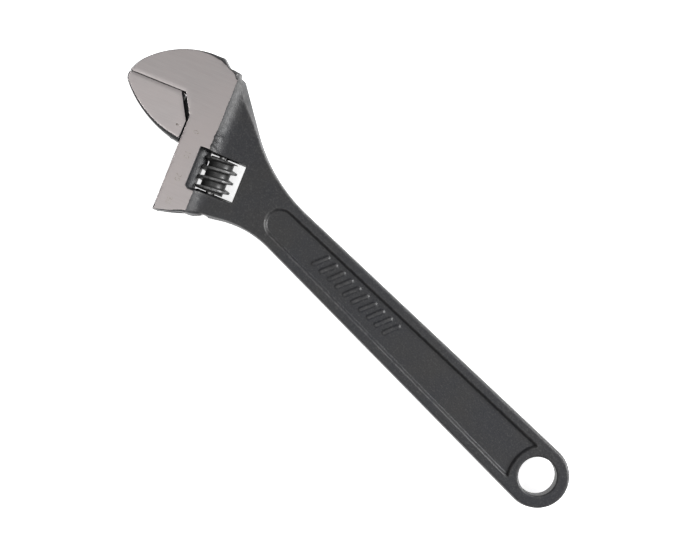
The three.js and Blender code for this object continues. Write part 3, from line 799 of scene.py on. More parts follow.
GROUND_INSET = 0.75
WINDOW_MARGIN = 1.05
PIT_SHARE = 1.5
UNGROUND = -1
SEAM_HALF_WIDTH = 1
BAR_TOP = -0.1
FLAKES_V, FLAKES_LENGTH = 13.8, 3.6
flat_spots = spots_of(body)
spots = flat_spots[:, :2]
u, v = to_head(spots)
from_back, from_chin = distance_to(spots, back_stroke), distance_to(spots, chin_stroke)
back_top = back_lean(spots) + GROUND_INSET * back_radius(spots)
chin_top = chin_lean(spots) + GROUND_INSET * chin_radius(spots)
into_face = np.minimum(from_back - back_top, from_chin - chin_top)
bare = np.minimum(u + GROUND_DEPTH, into_face)
bare = np.minimum(bare, window_distance(spots) - WINDOW_MARGIN) - PIT_SHARE * pit_depth(spots)
bare[in_throat(flat_spots, u, HALF_HEAD) & (u > -GROUND_DEPTH)] = UNGROUND
# Lighter lines along the edges, partly edge wear and partly painted highlight: the back edge, which
# faces the light, gets the strongest; the handle's end, the panel's lip, the hole, the window and the
# bar tops get theirs too.
wear_and_sheen = 1.3 * bell(from_back - back_top + 0.3 * back_radius(spots), 0.3)
wear_and_sheen += 0.5 * bell(from_chin - chin_top + 0.3 * chin_radius(spots), 0.25)
wear_and_sheen += 0.5 * bell(np.hypot(*spots.T) - HANDLE_END_RADIUS + 0.9, 0.35) * (spots[:, 0] < 0)
wear_and_sheen += 0.8 * bell(panel_distance(spots) - 0.2, 0.35) + 0.9 * bell(hole_distance(spots) - 0.4, 0.4)
wear_and_sheen += 0.4 * bell(window_distance(spots) - 1.02, 0.15) + (bar_distance(spots) < BAR_TOP) * 0.5
# Painted highlight along the parting band at the silhouette.
near_seam = np.abs(flat_spots[:, 2]) < SEAM_HALF_WIDTH
wear_and_sheen += 0.9 * bell(np.minimum(from_back, from_chin), 0.05) * near_seam
# Painted reflection: a lighter band on the shoulder next to the ground face.
wear_and_sheen += 0.55 * bell(u + GROUND_DEPTH + 0.9, 1.0) * (into_face > 0)
flaked = bell(u + GROUND_DEPTH + 0.7, 0.9) * bell(v - FLAKES_V, FLAKES_LENGTH)
record_finish(body, bare, wear_and_sheen, flaked)
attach(body, "frame")
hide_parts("body")
print("ground area holds", int((bare > 0).sum()), "of", len(bare), "points")

# %% [markdown]
# ## The movable jaw
#
# The jaw is a second forging: a curved block that closes against the fixed jaw, a thin web in
# the body's slot, and a round bar with a rack cut in its side. The block is made with the same
# height function as the body. Its forged belly has a shoulder that grows from the nose to the
# heel; the face, the throat and the slide edge are machined and sharp.

# %% Outline and skin of the jaw's block
HALF_JAW = HALF_HEAD - 0.1
FACE_GAP, SLIDE_GAP, THROAT_GAP = 0.3, 0.5, 1.7
JAW_HEEL = np.array([SLIDE_GAP, 20.3])
BELLY_RADIUS, NOSE_RADIUS, NOSE_DROP, NOSE_REACH = 45.8, 4.4, 1.6, 0.2
JAW_LEAN = 0.25

nose = np.array([jaw_length + NOSE_REACH - NOSE_RADIUS, FACE_GAP + NOSE_DROP])
span = JAW_HEEL - nose
reach = BELLY_RADIUS - NOSE_RADIUS
share_along = (reach**2 - BELLY_RADIUS**2 + span @ span) / (2 * np.linalg.norm(span))
span_way = span / np.linalg.norm(span)
belly = nose + span_way * share_along
belly += np.array([-span_way[1], span_way[0]]) * np.sqrt(reach**2 - share_along**2)
nose_turn, heel_turn = (np.degrees(np.arctan2(*(spot - belly)[::-1])) for spot in (nose, JAW_HEEL))
facet_slope = np.tan(np.radians(60))
facet_u = THROAT_U + THROAT_GAP * np.sqrt(1 + 1 / facet_slope**2) - FACE_GAP / facet_slope
nose_start = -np.degrees(np.arcsin(NOSE_DROP / NOSE_RADIUS))

belly_stroke = chained(from_head(arc(nose, NOSE_RADIUS, nose_start, nose_turn, 0.25)),
                       from_head(arc(belly, BELLY_RADIUS, nose_turn, heel_turn, 0.5)))
face_stroke = chained(
    belly_stroke[-1:],
    from_head([[SLIDE_GAP, FACE_GAP + (facet_u - SLIDE_GAP) * facet_slope], [facet_u, FACE_GAP]]),
    belly_stroke[:1])
jaw_outline = np.concatenate([belly_stroke[:-1], face_stroke[:-1]])


def belly_radius(spots):
    """Shoulder radius along the belly: fine at the nose, broad at the heel."""
    u, _ = to_head(spots)
    return np.interp(u, [0, 14, 34], [1.9, 1.2, 0.5])


def jaw_height(spots):
    """The flat ground level, never above the climb from the belly or from the machined edges."""
    forged = climb(distance_to(spots, belly_stroke), HALF_JAW, JAW_LEAN, belly_radius(spots))
    machined = climb(distance_to(spots, face_stroke), HALF_JAW, MACHINED_LEAN, MACHINED_EDGE)
    return np.maximum(np.minimum(forged, machined), 0.01)


def clear_of_jaw_lines(spots):
    """True well inside the block, away from the close lines along its edges."""
    off_belly = distance_to(spots, belly_stroke) > JAW_LEAN + 1.3 * belly_radius(spots) + 0.25
    return inside(spots, jaw_outline) & off_belly & (distance_to(spots, face_stroke) > 0.5)


jaw_chains = [(jaw_outline, True)]
jaw_chains += lines_beside(belly_stroke, JAW_LEAN, belly_radius(belly_stroke))
jaw_chains += lines_beside(face_stroke, MACHINED_LEAN, MACHINED_EDGE)[:4:2]
jaw_free = scattered_over(jaw_outline, 0.9, clear_of_jaw_lines)
jaw_plan, jaw_triangles = plan_triangles(jaw_chains, jaw_free, lambda spots: inside(spots, jaw_outline))
jaw = mirrored_sheets("movable_jaw_skin", jaw_plan, jaw_triangles, jaw_height(jaw_plan))
print("jaw block:", len(jaw.data.polygons), "triangles")

# %% [markdown]
# ## The thread
#
# The worm is one thread wound round a core. Its surface is a profile, the section of one turn
# with a rounded crest and a filleted root, carried up a helix: height grows with the angle by
# one lead a turn. The last point of the profile on one turn is the first on the next, so the
# grid closes on itself one profile higher. The same surface, a little fatter, cuts the rack.

# %% The screw surface
WORM_LEAD, WORM_PHASE_V = 4.2, 25.7
THREAD_TIP, THREAD_ROOT = 7.5, 5.1
CREST_HALF, ROOT_HALF = 0.45, 0.95


def thread_profile(grow, crest_round=0.3, root_round=0.5):
    """Offset along the axis and radius of one turn, from middle of root to middle of root."""
    tip, root = THREAD_TIP + grow, THREAD_ROOT + grow
    left, right = [-WORM_LEAD / 2, root], [WORM_LEAD / 2, root]
    feet = [[-ROOT_HALF - grow, root], [ROOT_HALF + grow, root]]
    tips = [[-CREST_HALF - grow, tip], [CREST_HALF + grow, tip]]
    return np.concatenate([
        [left],
        fillet(left, feet[0], tips[0], root_round, 0.15),
        fillet(feet[0], tips[0], tips[1], crest_round, 0.12),
        fillet(tips[0], tips[1], feet[1], crest_round, 0.12),
        fillet(tips[1], feet[1], right, root_round, 0.15),
    ])


def screw(start_v, end_v, grow, columns):
    """The closed screw over a stretch of the axis, with a turn to spare at both ends. Point
    (row, column) has the profile's radius at that row, the column's angle, and a height of the
    profile's offset plus the lead times the turns made so far."""
    profile = thread_profile(grow)
    first = np.floor((start_v - WORM_PHASE_V) / WORM_LEAD) - 1
    turns = np.arange(first, np.ceil((end_v - WORM_PHASE_V) / WORM_LEAD) + 2)
    offset = (turns[:, None] * WORM_LEAD + profile[:, 0]).ravel() + WORM_PHASE_V
    radius = np.tile(profile[:, 1], len(turns))
    share = np.arange(columns) / columns
    points = np.stack([
        radius[:, None] * np.cos(2 * np.pi * share),
        radius[:, None] * np.sin(2 * np.pi * share),
        offset[:, None] + WORM_LEAD * share,
    ], axis=2).reshape(-1, 3)
    rows, per_turn = len(offset), len(profile)
    index = np.arange(rows * columns).reshape(rows, columns)
    right = np.concatenate([index[:, 1:], np.roll(index[:, :1], -per_turn, axis=0)], axis=1)
    whole = np.ones((rows - 1, columns), bool)
    whole[rows - 1 - per_turn :, -1] = False
    a, b = index[:-1][whole], right[:-1][whole]
    c, d = right[1:][whole], index[1:][whole]
    low = np.concatenate([index[per_turn:0:-1, 0], index[0]])
    high = np.concatenate([index[-per_turn - 1 : -1, -1], index[-1, ::-1]])
    ends = np.array([[0, 0, points[low, 2].mean()], [0, 0, points[high, 2].mean()]])
    fans = [np.stack([np.full(len(ring), len(points) + k), ring, np.roll(ring, -1)], 1)
            for k, ring in enumerate((low[::-1], high[::-1]))]
    faces = np.concatenate([np.stack([a, b, c], 1), np.stack([a, c, d], 1), *fans])
    return np.concatenate([points, ends]), faces


print("one turn of thread has", len(thread_profile(0)), "points")

# %% [markdown]
# ## Web, bar and rack
#
# The web and the bar are joined to the block, then the rack is cut with the grown screw. The
# bar's tail is milled flat, so light shows between it and the worm.

# %% Join the web and the bar, and cut the rack
SLIDE_BAR_RADIUS, BAR_START_V, BAR_END_V = 5.0, -4.5, 39.0
TAIL_START_V, TAIL_DEPTH, BAR_EDGE = 25.6, 1.6, 0.4

web_reaches = ((THROAT_U, FACE_GAP, JAW_HEEL[1] - 0.7),
               (THROAT_U + SLIDE_GAP, FACE_GAP + THROAT_V, JAW_HEEL[1] - 1.4))
for reach_u, start, end in web_reaches:
    web = prism([[BAR_AXIS_U, -WEB_HALF], [reach_u, -WEB_HALF], [reach_u, WEB_HALF],
                 [BAR_AXIS_U, WEB_HALF]], start, end)
    combine(jaw, make_piece("web", *web), "UNION")

bar_points, bar_faces = turned(
    [[0, BAR_START_V], [SLIDE_BAR_RADIUS - BAR_EDGE, BAR_START_V],
     [SLIDE_BAR_RADIUS, BAR_START_V + BAR_EDGE], [SLIDE_BAR_RADIUS, BAR_END_V - BAR_EDGE],
     [SLIDE_BAR_RADIUS - BAR_EDGE, BAR_END_V], [0, BAR_END_V]], 96)
slide_bar = make_piece("slide_bar", along_axis(bar_points, BAR_AXIS_U), bar_faces)
tail_u = BAR_AXIS_U - SLIDE_BAR_RADIUS
tail = prism([[tail_u - BEYOND, -BEYOND], [tail_u + TAIL_DEPTH, -BEYOND],
              [tail_u + TAIL_DEPTH, BEYOND], [tail_u - BEYOND, BEYOND]],
             TAIL_START_V, BAR_END_V + BEYOND)
combine(slide_bar, make_piece("tail", *tail), "DIFFERENCE")
hob_points, hob_faces = screw(BAR_START_V, BAR_END_V, FIT, 96)
combine(slide_bar, make_piece("hob", along_axis(hob_points, WORM_AXIS_U), hob_faces), "DIFFERENCE")
combine(jaw, slide_bar, "UNION")
show_edges(jaw)

jaw_spots = spots_of(jaw)
spots = jaw_spots[:, :2]
u, v = to_head(spots)
from_belly = distance_to(spots, belly_stroke)
within = inside(spots, jaw_outline) | (distance_to(spots, face_stroke) < 0.01)
jaw_bare = np.where(within, from_belly - JAW_LEAN - 0.8 * belly_radius(spots), UNGROUND)
# A lighter line along the belly's shoulder and on the bar: partly edge wear, partly painted highlight.
jaw_wear_and_sheen = 0.7 * bell(from_belly - JAW_LEAN - 0.4 * belly_radius(spots), 0.4)
on_bar = np.hypot(u - BAR_AXIS_U, jaw_spots[:, 2]) > SLIDE_BAR_RADIUS - 0.05
jaw_bare[in_throat(jaw_spots, u, HALF_JAW)] = UNGROUND
record_finish(jaw, jaw_bare, jaw_wear_and_sheen + 0.1 * (on_bar & ~within), np.zeros(len(u)))
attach(jaw, "jaw")
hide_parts("movable_jaw")
print("jaw with web, bar and rack:", len(jaw.data.polygons), "triangles")

# %% [markdown]
# ## Worm, pin and spring
#
# The worm is cut to length from the screw, with its ends chamfered and a bore for the pin. The
# pin is a turned rod with a slotted head, and the spring is a round wire along a helix.

# %% The worm
WORM_START_V, WORM_END_V, WORM_CHAMFER = WINDOW_V[0] + 0.65, WINDOW_V[1] - 0.35, 1.1
SPRING_RADIUS, WIRE_RADIUS, SPRING_TURNS, SPRING_SEAT = 3.0, 0.3, 4, 6.5

worm_points, worm_faces = screw(WORM_START_V, WORM_END_V, 0, 144)
worm = make_piece("worm_thread", along_axis(worm_points, WORM_AXIS_U), worm_faces)
blank_neck, blank = THREAD_TIP - WORM_CHAMFER, THREAD_TIP + 0.5
blank_points, blank_faces = turned(
    [[0, WORM_START_V], [blank_neck, WORM_START_V], [blank, WORM_START_V + WORM_CHAMFER],
     [blank, WORM_END_V - WORM_CHAMFER], [blank_neck, WORM_END_V], [0, WORM_END_V]], 144)
combine(worm, make_piece("blank", along_axis(blank_points, WORM_AXIS_U), blank_faces), "INTERSECT")
seat = SPRING_RADIUS + WIRE_RADIUS + FIT
worm_bore = [[0, WORM_START_V - 1], [seat, WORM_START_V - 1], [seat, WORM_START_V + SPRING_SEAT],
             [PIN_RADIUS + FIT, WORM_START_V + SPRING_SEAT], [PIN_RADIUS + FIT, WORM_END_V + 1],
             [0, WORM_END_V + 1]]
drill_points, drill_faces = turned(worm_bore, 64)
combine(worm, make_piece("drill", along_axis(drill_points, WORM_AXIS_U), drill_faces), "DIFFERENCE")
show_edges(worm, 40)
worm_spots = spots_of(worm)
worm_u, _ = to_head(worm_spots)
worm_radius = np.hypot(worm_u - WORM_AXIS_U, worm_spots[:, 2])
attribute(worm, "wear_and_sheen", bell(worm_radius - THREAD_TIP, 0.35))
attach(worm, "worm")
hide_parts("worm")
print("worm:", len(worm.data.polygons), "triangles")

# %% The pin
PIN_BREAK, SLOT_HALF, SLOT_DEPTH = 0.25, 0.45, 1.0
pin_points, pin_faces = turned(
    [[0, PIN_TIP_V], [PIN_RADIUS - PIN_BREAK, PIN_TIP_V], [PIN_RADIUS, PIN_TIP_V + PIN_BREAK],
     [PIN_RADIUS, PIN_SHOULDER_V], [PIN_HEAD_RADIUS, PIN_SHOULDER_V],
     [PIN_HEAD_RADIUS, PIN_TOP_V - PIN_BREAK], [PIN_HEAD_RADIUS - PIN_BREAK, PIN_TOP_V],
     [0, PIN_TOP_V]], 64)
pin = make_piece("pin_turned", along_axis(pin_points, WORM_AXIS_U), pin_faces)
driver_slot = prism([[WORM_AXIS_U - BEYOND, -SLOT_HALF], [WORM_AXIS_U + BEYOND, -SLOT_HALF],
                     [WORM_AXIS_U + BEYOND, SLOT_HALF], [WORM_AXIS_U - BEYOND, SLOT_HALF]],
                    PIN_TOP_V - SLOT_DEPTH, PIN_TOP_V + BEYOND)
combine(pin, make_piece("driver_slot", *driver_slot), "DIFFERENCE")
show_edges(pin)
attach(pin, "frame")
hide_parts("worm_pin")
print("pin:", len(pin.data.polygons), "triangles")

# %% The spring
COIL_STEPS, WIRE_SIDES = 32, 12


def coil_wire(radius, wire, start, end, turns):
    """A tube along a helix. Round each point of the helix the wire's ring is the point plus the
    wire's radius times cosine along the outward way and sine along the axis."""
    steps = COIL_STEPS * turns + 1
    climb_share = np.linspace(0, 1, steps)
    turn = 2 * np.pi * turns * climb_share
    out = np.stack([np.cos(turn), np.sin(turn), np.zeros(steps)], axis=1)
    centre = out * radius + np.stack([0 * turn, 0 * turn, start + (end - start) * climb_share], 1)
    round_wire = np.linspace(0, 2 * np.pi, WIRE_SIDES, endpoint=False)
    ring = wire * (np.cos(round_wire)[None, :, None] * out[:, None]
                   + np.sin(round_wire)[None, :, None] * np.array([0, 0, 1.0]))
    points = (centre[:, None] + ring).reshape(-1, 3)
    here = np.arange(WIRE_SIDES)
    after = np.roll(here, -1)
    last = len(points) - WIRE_SIDES
    caps = [np.stack([np.full(WIRE_SIDES, len(points)), after, here], 1),
            np.stack([np.full(WIRE_SIDES, len(points) + 1), last + here, last + after], 1)]
    faces = np.concatenate([grid_faces(steps, WIRE_SIDES, True), *caps])
    return np.concatenate([points, centre[:1], centre[-1:]]), faces


coil_clear = WIRE_RADIUS + FIT
coil_points, coil_faces = coil_wire(SPRING_RADIUS, WIRE_RADIUS, WINDOW_V[0] + coil_clear,
                                    WORM_START_V + SPRING_SEAT - coil_clear, SPRING_TURNS)
spring = make_piece("spring_wire", along_axis(coil_points, WORM_AXIS_U), coil_faces)
show_edges(spring, 60)
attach(spring, "frame")
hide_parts("worm_spring")
print("spring:", len(spring.data.polygons), "triangles")

# %% [markdown]
# ## Scale and index mark
#
# A faint scale is etched into the ground face beside the slide: plain numerals that give the
# opening in millimetres, read against a dot on the jaw. They are thin films of letter shapes,
# a fiftieth of a millimetre thick, because an etched mark has colour but hardly any depth.

# %% Numerals and the dot
MARK_FILM, NUMERAL_HEIGHT, NUMERAL_U = 0.012, 2.5, -5.0
SCALE_START_V, SCALE_STEP_V = 13.7, 9.93


def film_of(kind, **settings):
    """The mesh of a flat text or curve, in its own plane."""
    data = bpy.data.curves.new("film", kind)
    for name, value in settings.items():
        setattr(data, name, value)
    holder = bpy.data.objects.new("film", data)
    bpy.context.scene.collection.objects.link(holder)
    graph = bpy.context.evaluated_depsgraph_get()
    mesh = bpy.data.meshes.new_from_object(holder.evaluated_get(graph))
    bpy.data.objects.remove(holder)
    return mesh


def laid_on_head(mesh, u, v, z):
    """Moves a mesh onto the head: its x runs along v and its y against u, at height z."""
    co = np.empty(len(mesh.vertices) * 3, np.float32)
    mesh.vertices.foreach_get("co", co)
    co = co.reshape(-1, 3)
    flat = from_head(np.stack([u - co[:, 1], v + co[:, 0]], axis=1))
    placed = (np.column_stack([flat, z + co[:, 2]]) + origin) * MM
    mesh.vertices.foreach_set("co", placed.astype(np.float32).ravel())
    return mesh


import bmesh

numerals = bmesh.new()
for k in range(4):
    film = film_of("FONT", body=str(10 * k), size=NUMERAL_HEIGHT * 1.35, extrude=MARK_FILM,
                   align_x="CENTER", align_y="CENTER", resolution_u=6, offset=-0.02)
    numerals.from_mesh(laid_on_head(film, NUMERAL_U, SCALE_START_V + k * SCALE_STEP_V, HALF_HEAD))
scale_mesh = bpy.data.meshes.new("scale_numerals")
numerals.to_mesh(scale_mesh)
scale = bpy.data.objects.new("scale_numerals", scale_mesh)
bpy.context.scene.collection.objects.link(scale)
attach(scale, "frame")

DOT_RADIUS, DOT_U = 0.42, 3.4
dot_points, dot_faces = turned([[0, -MARK_FILM], [DOT_RADIUS, -MARK_FILM], [DOT_RADIUS, MARK_FILM],
                                [0, MARK_FILM]], 32)
dash_points, dash_faces = prism([[DOT_U - 1.6, -MARK_FILM], [DOT_U, -MARK_FILM],
                                 [DOT_U, MARK_FILM], [DOT_U - 1.6, MARK_FILM]],
                                SCALE_START_V - 0.12, SCALE_START_V + 0.12)
dot_flat = from_head(dot_points[:, :2] + [DOT_U, SCALE_START_V])
dot_points = np.column_stack([dot_flat, dot_points[:, 2]])
mark_points = np.concatenate([dot_points, dash_points]) + [0, 0, HALF_JAW]
index_mark = make_piece("index_mark", mark_points,
                        np.concatenate([dot_faces, dash_faces + len(dot_points)]))
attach(index_mark, "jaw")
print("scale:", len(scale.data.polygons), "faces, index mark:", len(index_mark.data.polygons))

# %% [markdown]
# ## Helpers for materials
#
# A node material is a small graph. These helpers add a node, set its inputs, and join it to the
# nodes whose outputs it is given, so that each finish below reads like a recipe.

# %% Node helpers
class Recipe:
    """A node material under construction, ending in one Principled shader."""

    def __init__(self, name):
        self.material = bpy.data.materials.new(name)
        self.material.use_nodes = True
        self.tree = self.material.node_tree
        self.shader = self.tree.nodes["Principled BSDF"]
        self.place = self.add("ShaderNodeTexCoord").outputs["Object"]

    def add(self, kind, inputs=(), **settings):
        """A node with its settings and inputs: a socket is linked, a number is set."""
        node = self.tree.nodes.new(kind)
        for name, value in settings.items():
            setattr(node, name, value)
        for key, value in dict(inputs).items():
            if isinstance(value, bpy.types.NodeSocket):
                self.tree.links.new(value, node.inputs[key])
            else:
                node.inputs[key].default_value = value
        return node

    def noise(self, scale, detail=3.0, roughness=0.55, place=None):
        """Noise from 0 to 1 with features about one over scale metres across."""
        inputs = {"Vector": place or self.place, "Scale": scale, "Detail": detail,
                  "Roughness": roughness}
        return self.add("ShaderNodeTexNoise", inputs).outputs["Fac"]

    def spread(self, value, low, high, to_low=0.0, to_high=1.0):
        """The value's stretch from low to high, as to_low to to_high, held at both ends."""
        inputs = {"Value": value, "From Min": low, "From Max": high, "To Min": to_low,
                  "To Max": to_high}
        return self.add("ShaderNodeMapRange", inputs, clamp=True).outputs["Result"]

    def maths(self, operation, a, b):
        """Two numbers put together by one operation."""
        return self.add("ShaderNodeMath", {0: a, 1: b}, operation=operation).outputs[0]

    def mix(self, share, a, b):
        """Colour a where share is 0 and colour b where it is 1."""
        inputs = {"Factor": share, "A": a, "B": b}
        node = self.add("ShaderNodeMix", data_type="RGBA")
        for name, value in inputs.items():
            socket = next(s for s in node.inputs if s.name == name and s.enabled)
            if isinstance(value, bpy.types.NodeSocket):
                self.tree.links.new(value, socket)
            else:
                socket.default_value = value
        return next(s for s in node.outputs if s.enabled)

    def field(self, name):
        """The number stored on the mesh under a name."""
        return self.add("ShaderNodeAttribute", attribute_name=name).outputs["Fac"]

    def bump(self, height, distance, strength=1.0, under=None):
        """A bump of that real height in metres, on top of another bump where one is given."""
        inputs = {"Height": height, "Distance": distance, "Strength": strength}
        if under is not None:
            inputs["Normal"] = under
        return self.add("ShaderNodeBump", inputs).outputs["Normal"]

    def finish(self, **sockets):
        """Sets or links the shader's own sockets, and gives the material."""
        for name, value in sockets.items():
            socket = self.shader.inputs[name.replace("_", " ")]
            if isinstance(value, bpy.types.NodeSocket):
                self.tree.links.new(value, socket)
            else:
                socket.default_value = value
        return self.material


def grey(value, warmth=0.0):
    """A grey with a little red added and blue taken away by the warmth."""
    return (value * (1 + warmth), value, value * (1 - warmth), 1)


# %% [markdown]
# ## Blackened forging and ground steel
#
# The skin is blued steel: nearly black, with the grain of a blasted forging, a little browner
# or bluer from place to place, and lighter and more metallic along its edges and on the shoulder
# by the ground face: partly bare at worn edges, partly painted highlight. The ground faces are
# plain steel with fine lines from the wheel, which run across the slide. Both are one material,
# because they meet on one surface: the number "bare" says where the wheel has been, and fine
# noise makes that border as uneven as the forging under it.

# %% The finish of the body and the jaw
STEEL_TONES = ((0.430, 0.400, 0.396), (0.375, 0.348, 0.345), (0.435, 0.390, 0.382))
GRIND_LINES = 5200
LINE_LENGTH = 90


def lines_place(recipe):
    """Places turned to the head and squeezed across it, so that noise becomes fine lines."""
    turned_place = recipe.add("ShaderNodeMapping", {
        "Vector": recipe.place, "Rotation": (0, 0, -np.radians(HEAD_ANGLE))}).outputs[0]
    return recipe.add("ShaderNodeMapping", {
        "Vector": turned_place, "Scale": (LINE_LENGTH, GRIND_LINES, LINE_LENGTH)}).outputs[0]


def forged_and_ground(name, brightness):
    """Blackened skin and ground steel, mixed by the stored number "bare"."""
    recipe = Recipe(name)
    grain = recipe.noise(2600, 4)
    clouds = recipe.noise(55, 3)
    scale_marks = recipe.noise(420, 3)
    flakes = recipe.maths("MULTIPLY", recipe.field("flaked"),
                          recipe.spread(recipe.noise(950, 3, 0.6), 0.5, 0.56))
    border = recipe.maths("MULTIPLY_ADD", recipe.noise(1500, 3), 0.5)
    border.node.inputs[2].default_value = -0.25
    bare = recipe.spread(recipe.maths("ADD", recipe.field("bare"), border), -0.06, 0.06)
    wear_and_sheen = recipe.maths("MULTIPLY", recipe.field("wear_and_sheen"), recipe.spread(scale_marks, 0.35, 0.65))

    skin = recipe.mix(recipe.spread(clouds, 0.3, 0.7), (0.0070, 0.0080, 0.0120, 1),
                      (0.0115, 0.0110, 0.0115, 1))
    specks = recipe.noise(1300, 3, 0.6)
    skin = recipe.mix(recipe.spread(grain, 0.45, 0.75, 0, 0.5), skin, grey(0.026))
    skin = recipe.mix(recipe.spread(specks, 0.52, 0.68, 0, 0.55), skin, grey(0.040, 0.012))
    # Lighter grey where the stored number is high: worn edges and painted highlights.
    skin = recipe.mix(recipe.maths("MULTIPLY", wear_and_sheen, 0.4), skin, grey(0.16, 0.02))
    skin = recipe.mix(recipe.maths("MULTIPLY", flakes, 0.8), skin, grey(0.006))

    lines = recipe.noise(1, 2, place=lines_place(recipe))
    tint = recipe.noise(38, 2)
    pale, dim, rosy = ((red * brightness, green * brightness, blue * brightness, 1)
                       for red, green, blue in STEEL_TONES)
    steel = recipe.mix(recipe.spread(lines, 0.3, 0.7), dim, pale)
    steel = recipe.mix(recipe.spread(tint, 0.35, 0.7, 0, 0.6), steel, rosy)

    rough_skin = recipe.spread(grain, 0.3, 0.7, 0.37, 0.50)
    rough_steel = recipe.spread(lines, 0.3, 0.7, 0.30, 0.42)
    share = recipe.maths("MULTIPLY", bare, rough_steel)
    other = recipe.maths("MULTIPLY", recipe.maths("SUBTRACT", 1.0, bare), rough_skin)
    deep = recipe.maths("MULTIPLY", recipe.maths("SUBTRACT", 1.0, bare),
                        recipe.maths("SUBTRACT", recipe.maths("ADD", grain, scale_marks),
                                     recipe.maths("MULTIPLY", flakes, 2.0)))
    bumped = recipe.bump(deep, 0.00014, 0.8)
    bumped = recipe.bump(recipe.maths("MULTIPLY", bare, lines), 0.000008, 0.5, bumped)
    metal = recipe.maths("MAXIMUM", bare, recipe.maths("MULTIPLY", wear_and_sheen, 0.5))
    return recipe.finish(Base_Color=recipe.mix(bare, skin, steel), Metallic=metal,
                         Roughness=recipe.maths("ADD", share, other), Normal=bumped)


def give(piece, material):
    """Makes one material the piece's only finish."""
    piece.data.materials.clear()
    piece.data.materials.append(material)


give(body, forged_and_ground("forged_and_ground_body", 1.0))
# The jaw's steel is 1.12 times lighter than the body's, partly a painted reflection: its face shows a
# stronger sheen under the light.
give(jaw, forged_and_ground("forged_and_ground_jaw", 1.12))
print("body and jaw finished")

# %% [markdown]
# ## Small steel parts
#
# The worm is blackened too, but turned and not forged, so its grain runs round the axis and its
# crests shine where thumbs roll it. Pin and spring are bright, with fine turning lines. The
# etched marks are a film that is browner and duller than the steel round it.

# %% Finishes of the small parts
def turned_steel(name, colour, shine, line_scale, metal, worn_colour=None):
    """Steel with fine lines across the axis, which a long noise along the head's v gives."""
    recipe = Recipe(name)
    turned_place = recipe.add("ShaderNodeMapping", {
        "Vector": recipe.place, "Rotation": (0, 0, -np.radians(HEAD_ANGLE))}).outputs[0]
    rings = recipe.noise(1, 2, place=recipe.add("ShaderNodeMapping", {
        "Vector": turned_place, "Scale": (120, line_scale, 120)}).outputs[0])
    cloud = recipe.noise(900, 3)
    dull = tuple(0.72 * part for part in colour[:3]) + (1,)
    tone = recipe.mix(recipe.spread(rings, 0.3, 0.7), dull, colour)
    tone = recipe.mix(recipe.spread(cloud, 0.4, 0.75, 0, 0.4), tone, dull)
    if worn_colour:
        wear_and_sheen = recipe.maths("MULTIPLY", recipe.field("wear_and_sheen"), recipe.spread(cloud, 0.3, 0.6))
        tone = recipe.mix(recipe.maths("MULTIPLY", wear_and_sheen, 0.6), tone, worn_colour)
    return recipe.finish(Base_Color=tone, Metallic=metal,
                         Roughness=recipe.spread(cloud, 0.3, 0.7, shine - 0.06, shine + 0.08),
                         Normal=recipe.bump(rings, 0.00001, 0.5))


def etched_film(name):
    """A dull brown film, broken up where the etching took less."""
    recipe = Recipe(name)
    blotches = recipe.noise(1400, 3)
    tone = recipe.mix(recipe.spread(blotches, 0.4, 0.6), grey(0.26, 0.12), grey(0.44, 0.06))
    return recipe.finish(Base_Color=tone, Metallic=1.0,
                         Roughness=recipe.spread(blotches, 0.3, 0.7, 0.45, 0.6))


give(worm, turned_steel("blackened_worm", grey(0.035), 0.38, 2500, 0.2, grey(0.2)))
give(pin, turned_steel("bright_pin", grey(0.62, 0.01), 0.25, 4000, 1.0))
give(spring, turned_steel("spring_steel", grey(0.5, 0.01), 0.3, 4000, 1.0))
etched = etched_film("etched_marks")
give(scale, etched)
give(index_mark, etched)
print("materials:", sorted(material.name for material in bpy.data.materials))

# %% [markdown]
# ## Studio
#
# The wrench lies on a white table that is lit from below, so its openings show clear and it
# has hardly any shadow. One large soft light stands to the right, fairly low, and draws every
# edge that faces it. The camera looks straight down.

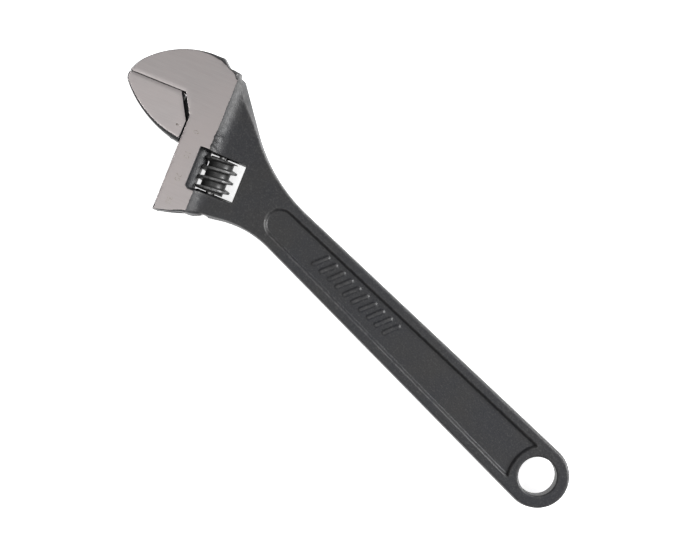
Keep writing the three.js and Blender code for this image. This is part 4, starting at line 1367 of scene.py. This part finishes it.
# %% Floor and world
lowest = CAD_BOX[0].z
FLOOR_HALF = 2.0
TABLE_GLOW = 0.8
ROOM_LIGHT = 0.26
floor_mesh = bpy.data.meshes.new("floor")
floor_mesh.from_pydata([(-FLOOR_HALF, -FLOOR_HALF, lowest), (FLOOR_HALF, -FLOOR_HALF, lowest),
                        (FLOOR_HALF, FLOOR_HALF, lowest), (-FLOOR_HALF, FLOOR_HALF, lowest)],
                       [], [(0, 1, 2, 3)])
floor = bpy.data.objects.new("floor", floor_mesh)
bpy.context.scene.collection.objects.link(floor)
table = Recipe("white_table")
give(floor, table.finish(Base_Color=table.mix(table.noise(6, 2), grey(0.90), grey(0.93)),
                         Roughness=0.9, Emission_Color=(1, 1, 1, 1), Emission_Strength=TABLE_GLOW))

world = bpy.data.worlds.new("soft_room")
world.use_nodes = True
world.node_tree.nodes["Background"].inputs["Color"].default_value = (1, 1, 1, 1)
world.node_tree.nodes["Background"].inputs["Strength"].default_value = ROOM_LIGHT
bpy.context.scene.world = world
bpy.context.scene.view_settings.view_transform = "Standard"
print("floor at", round(lowest, 5), "m")

# %% Lights and camera
CAMERA_HEIGHT = 0.5767
CAMERA_OFFSET = (0.00017, -0.00283)
CAMERA_UP = (0.69966, -0.71447, 0)
LENS = 70.7

focus = (CAD_BOX[0] + CAD_BOX[1]) / 2
eye = Vector((focus.x + CAMERA_OFFSET[0], focus.y + CAMERA_OFFSET[1], CAMERA_HEIGHT))


def aimed(thing, place, target, up):
    """Puts a light or camera at a place, looking at the target, with up at the picture's top."""
    back = (Vector(place) - Vector(target)).normalized()
    right = Vector(up).cross(back).normalized()
    top = back.cross(right)
    turn = Matrix((right, top, back)).transposed().to_4x4()
    thing.matrix_world = Matrix.Translation(place) @ turn
    bpy.context.scene.collection.objects.link(thing)


lens = bpy.data.cameras.new("camera")
lens.lens = LENS
camera = bpy.data.objects.new("camera", lens)
aimed(camera, eye, eye - Vector((0, 0, 1)), CAMERA_UP)
bpy.context.scene.camera = camera

picture_up = Vector(CAMERA_UP).normalized()
picture_right = picture_up.cross(Vector((0, 0, 1)))


def soft_light(name, right, up, height, size, power):
    """A square light beside the object, placed by the picture's right and up."""
    lamp = bpy.data.lights.new(name, "AREA")
    lamp.shape, lamp.size, lamp.energy = "SQUARE", size, power
    place = focus + picture_right * right + picture_up * up + Vector((0, 0, height))
    aimed(bpy.data.objects.new(name, lamp), place, focus, (0, 0, 1))


soft_light("key_light", 0.9, 0.06, 0.52, 0.42, 20)
soft_light("lower_light", -0.45, -0.35, 0.9, 0.8, 3)
soft_light("overhead_light", -0.15, 0.05, 1.2, 0.9, 1.6)
print("camera", tuple(round(value, 4) for value in eye))
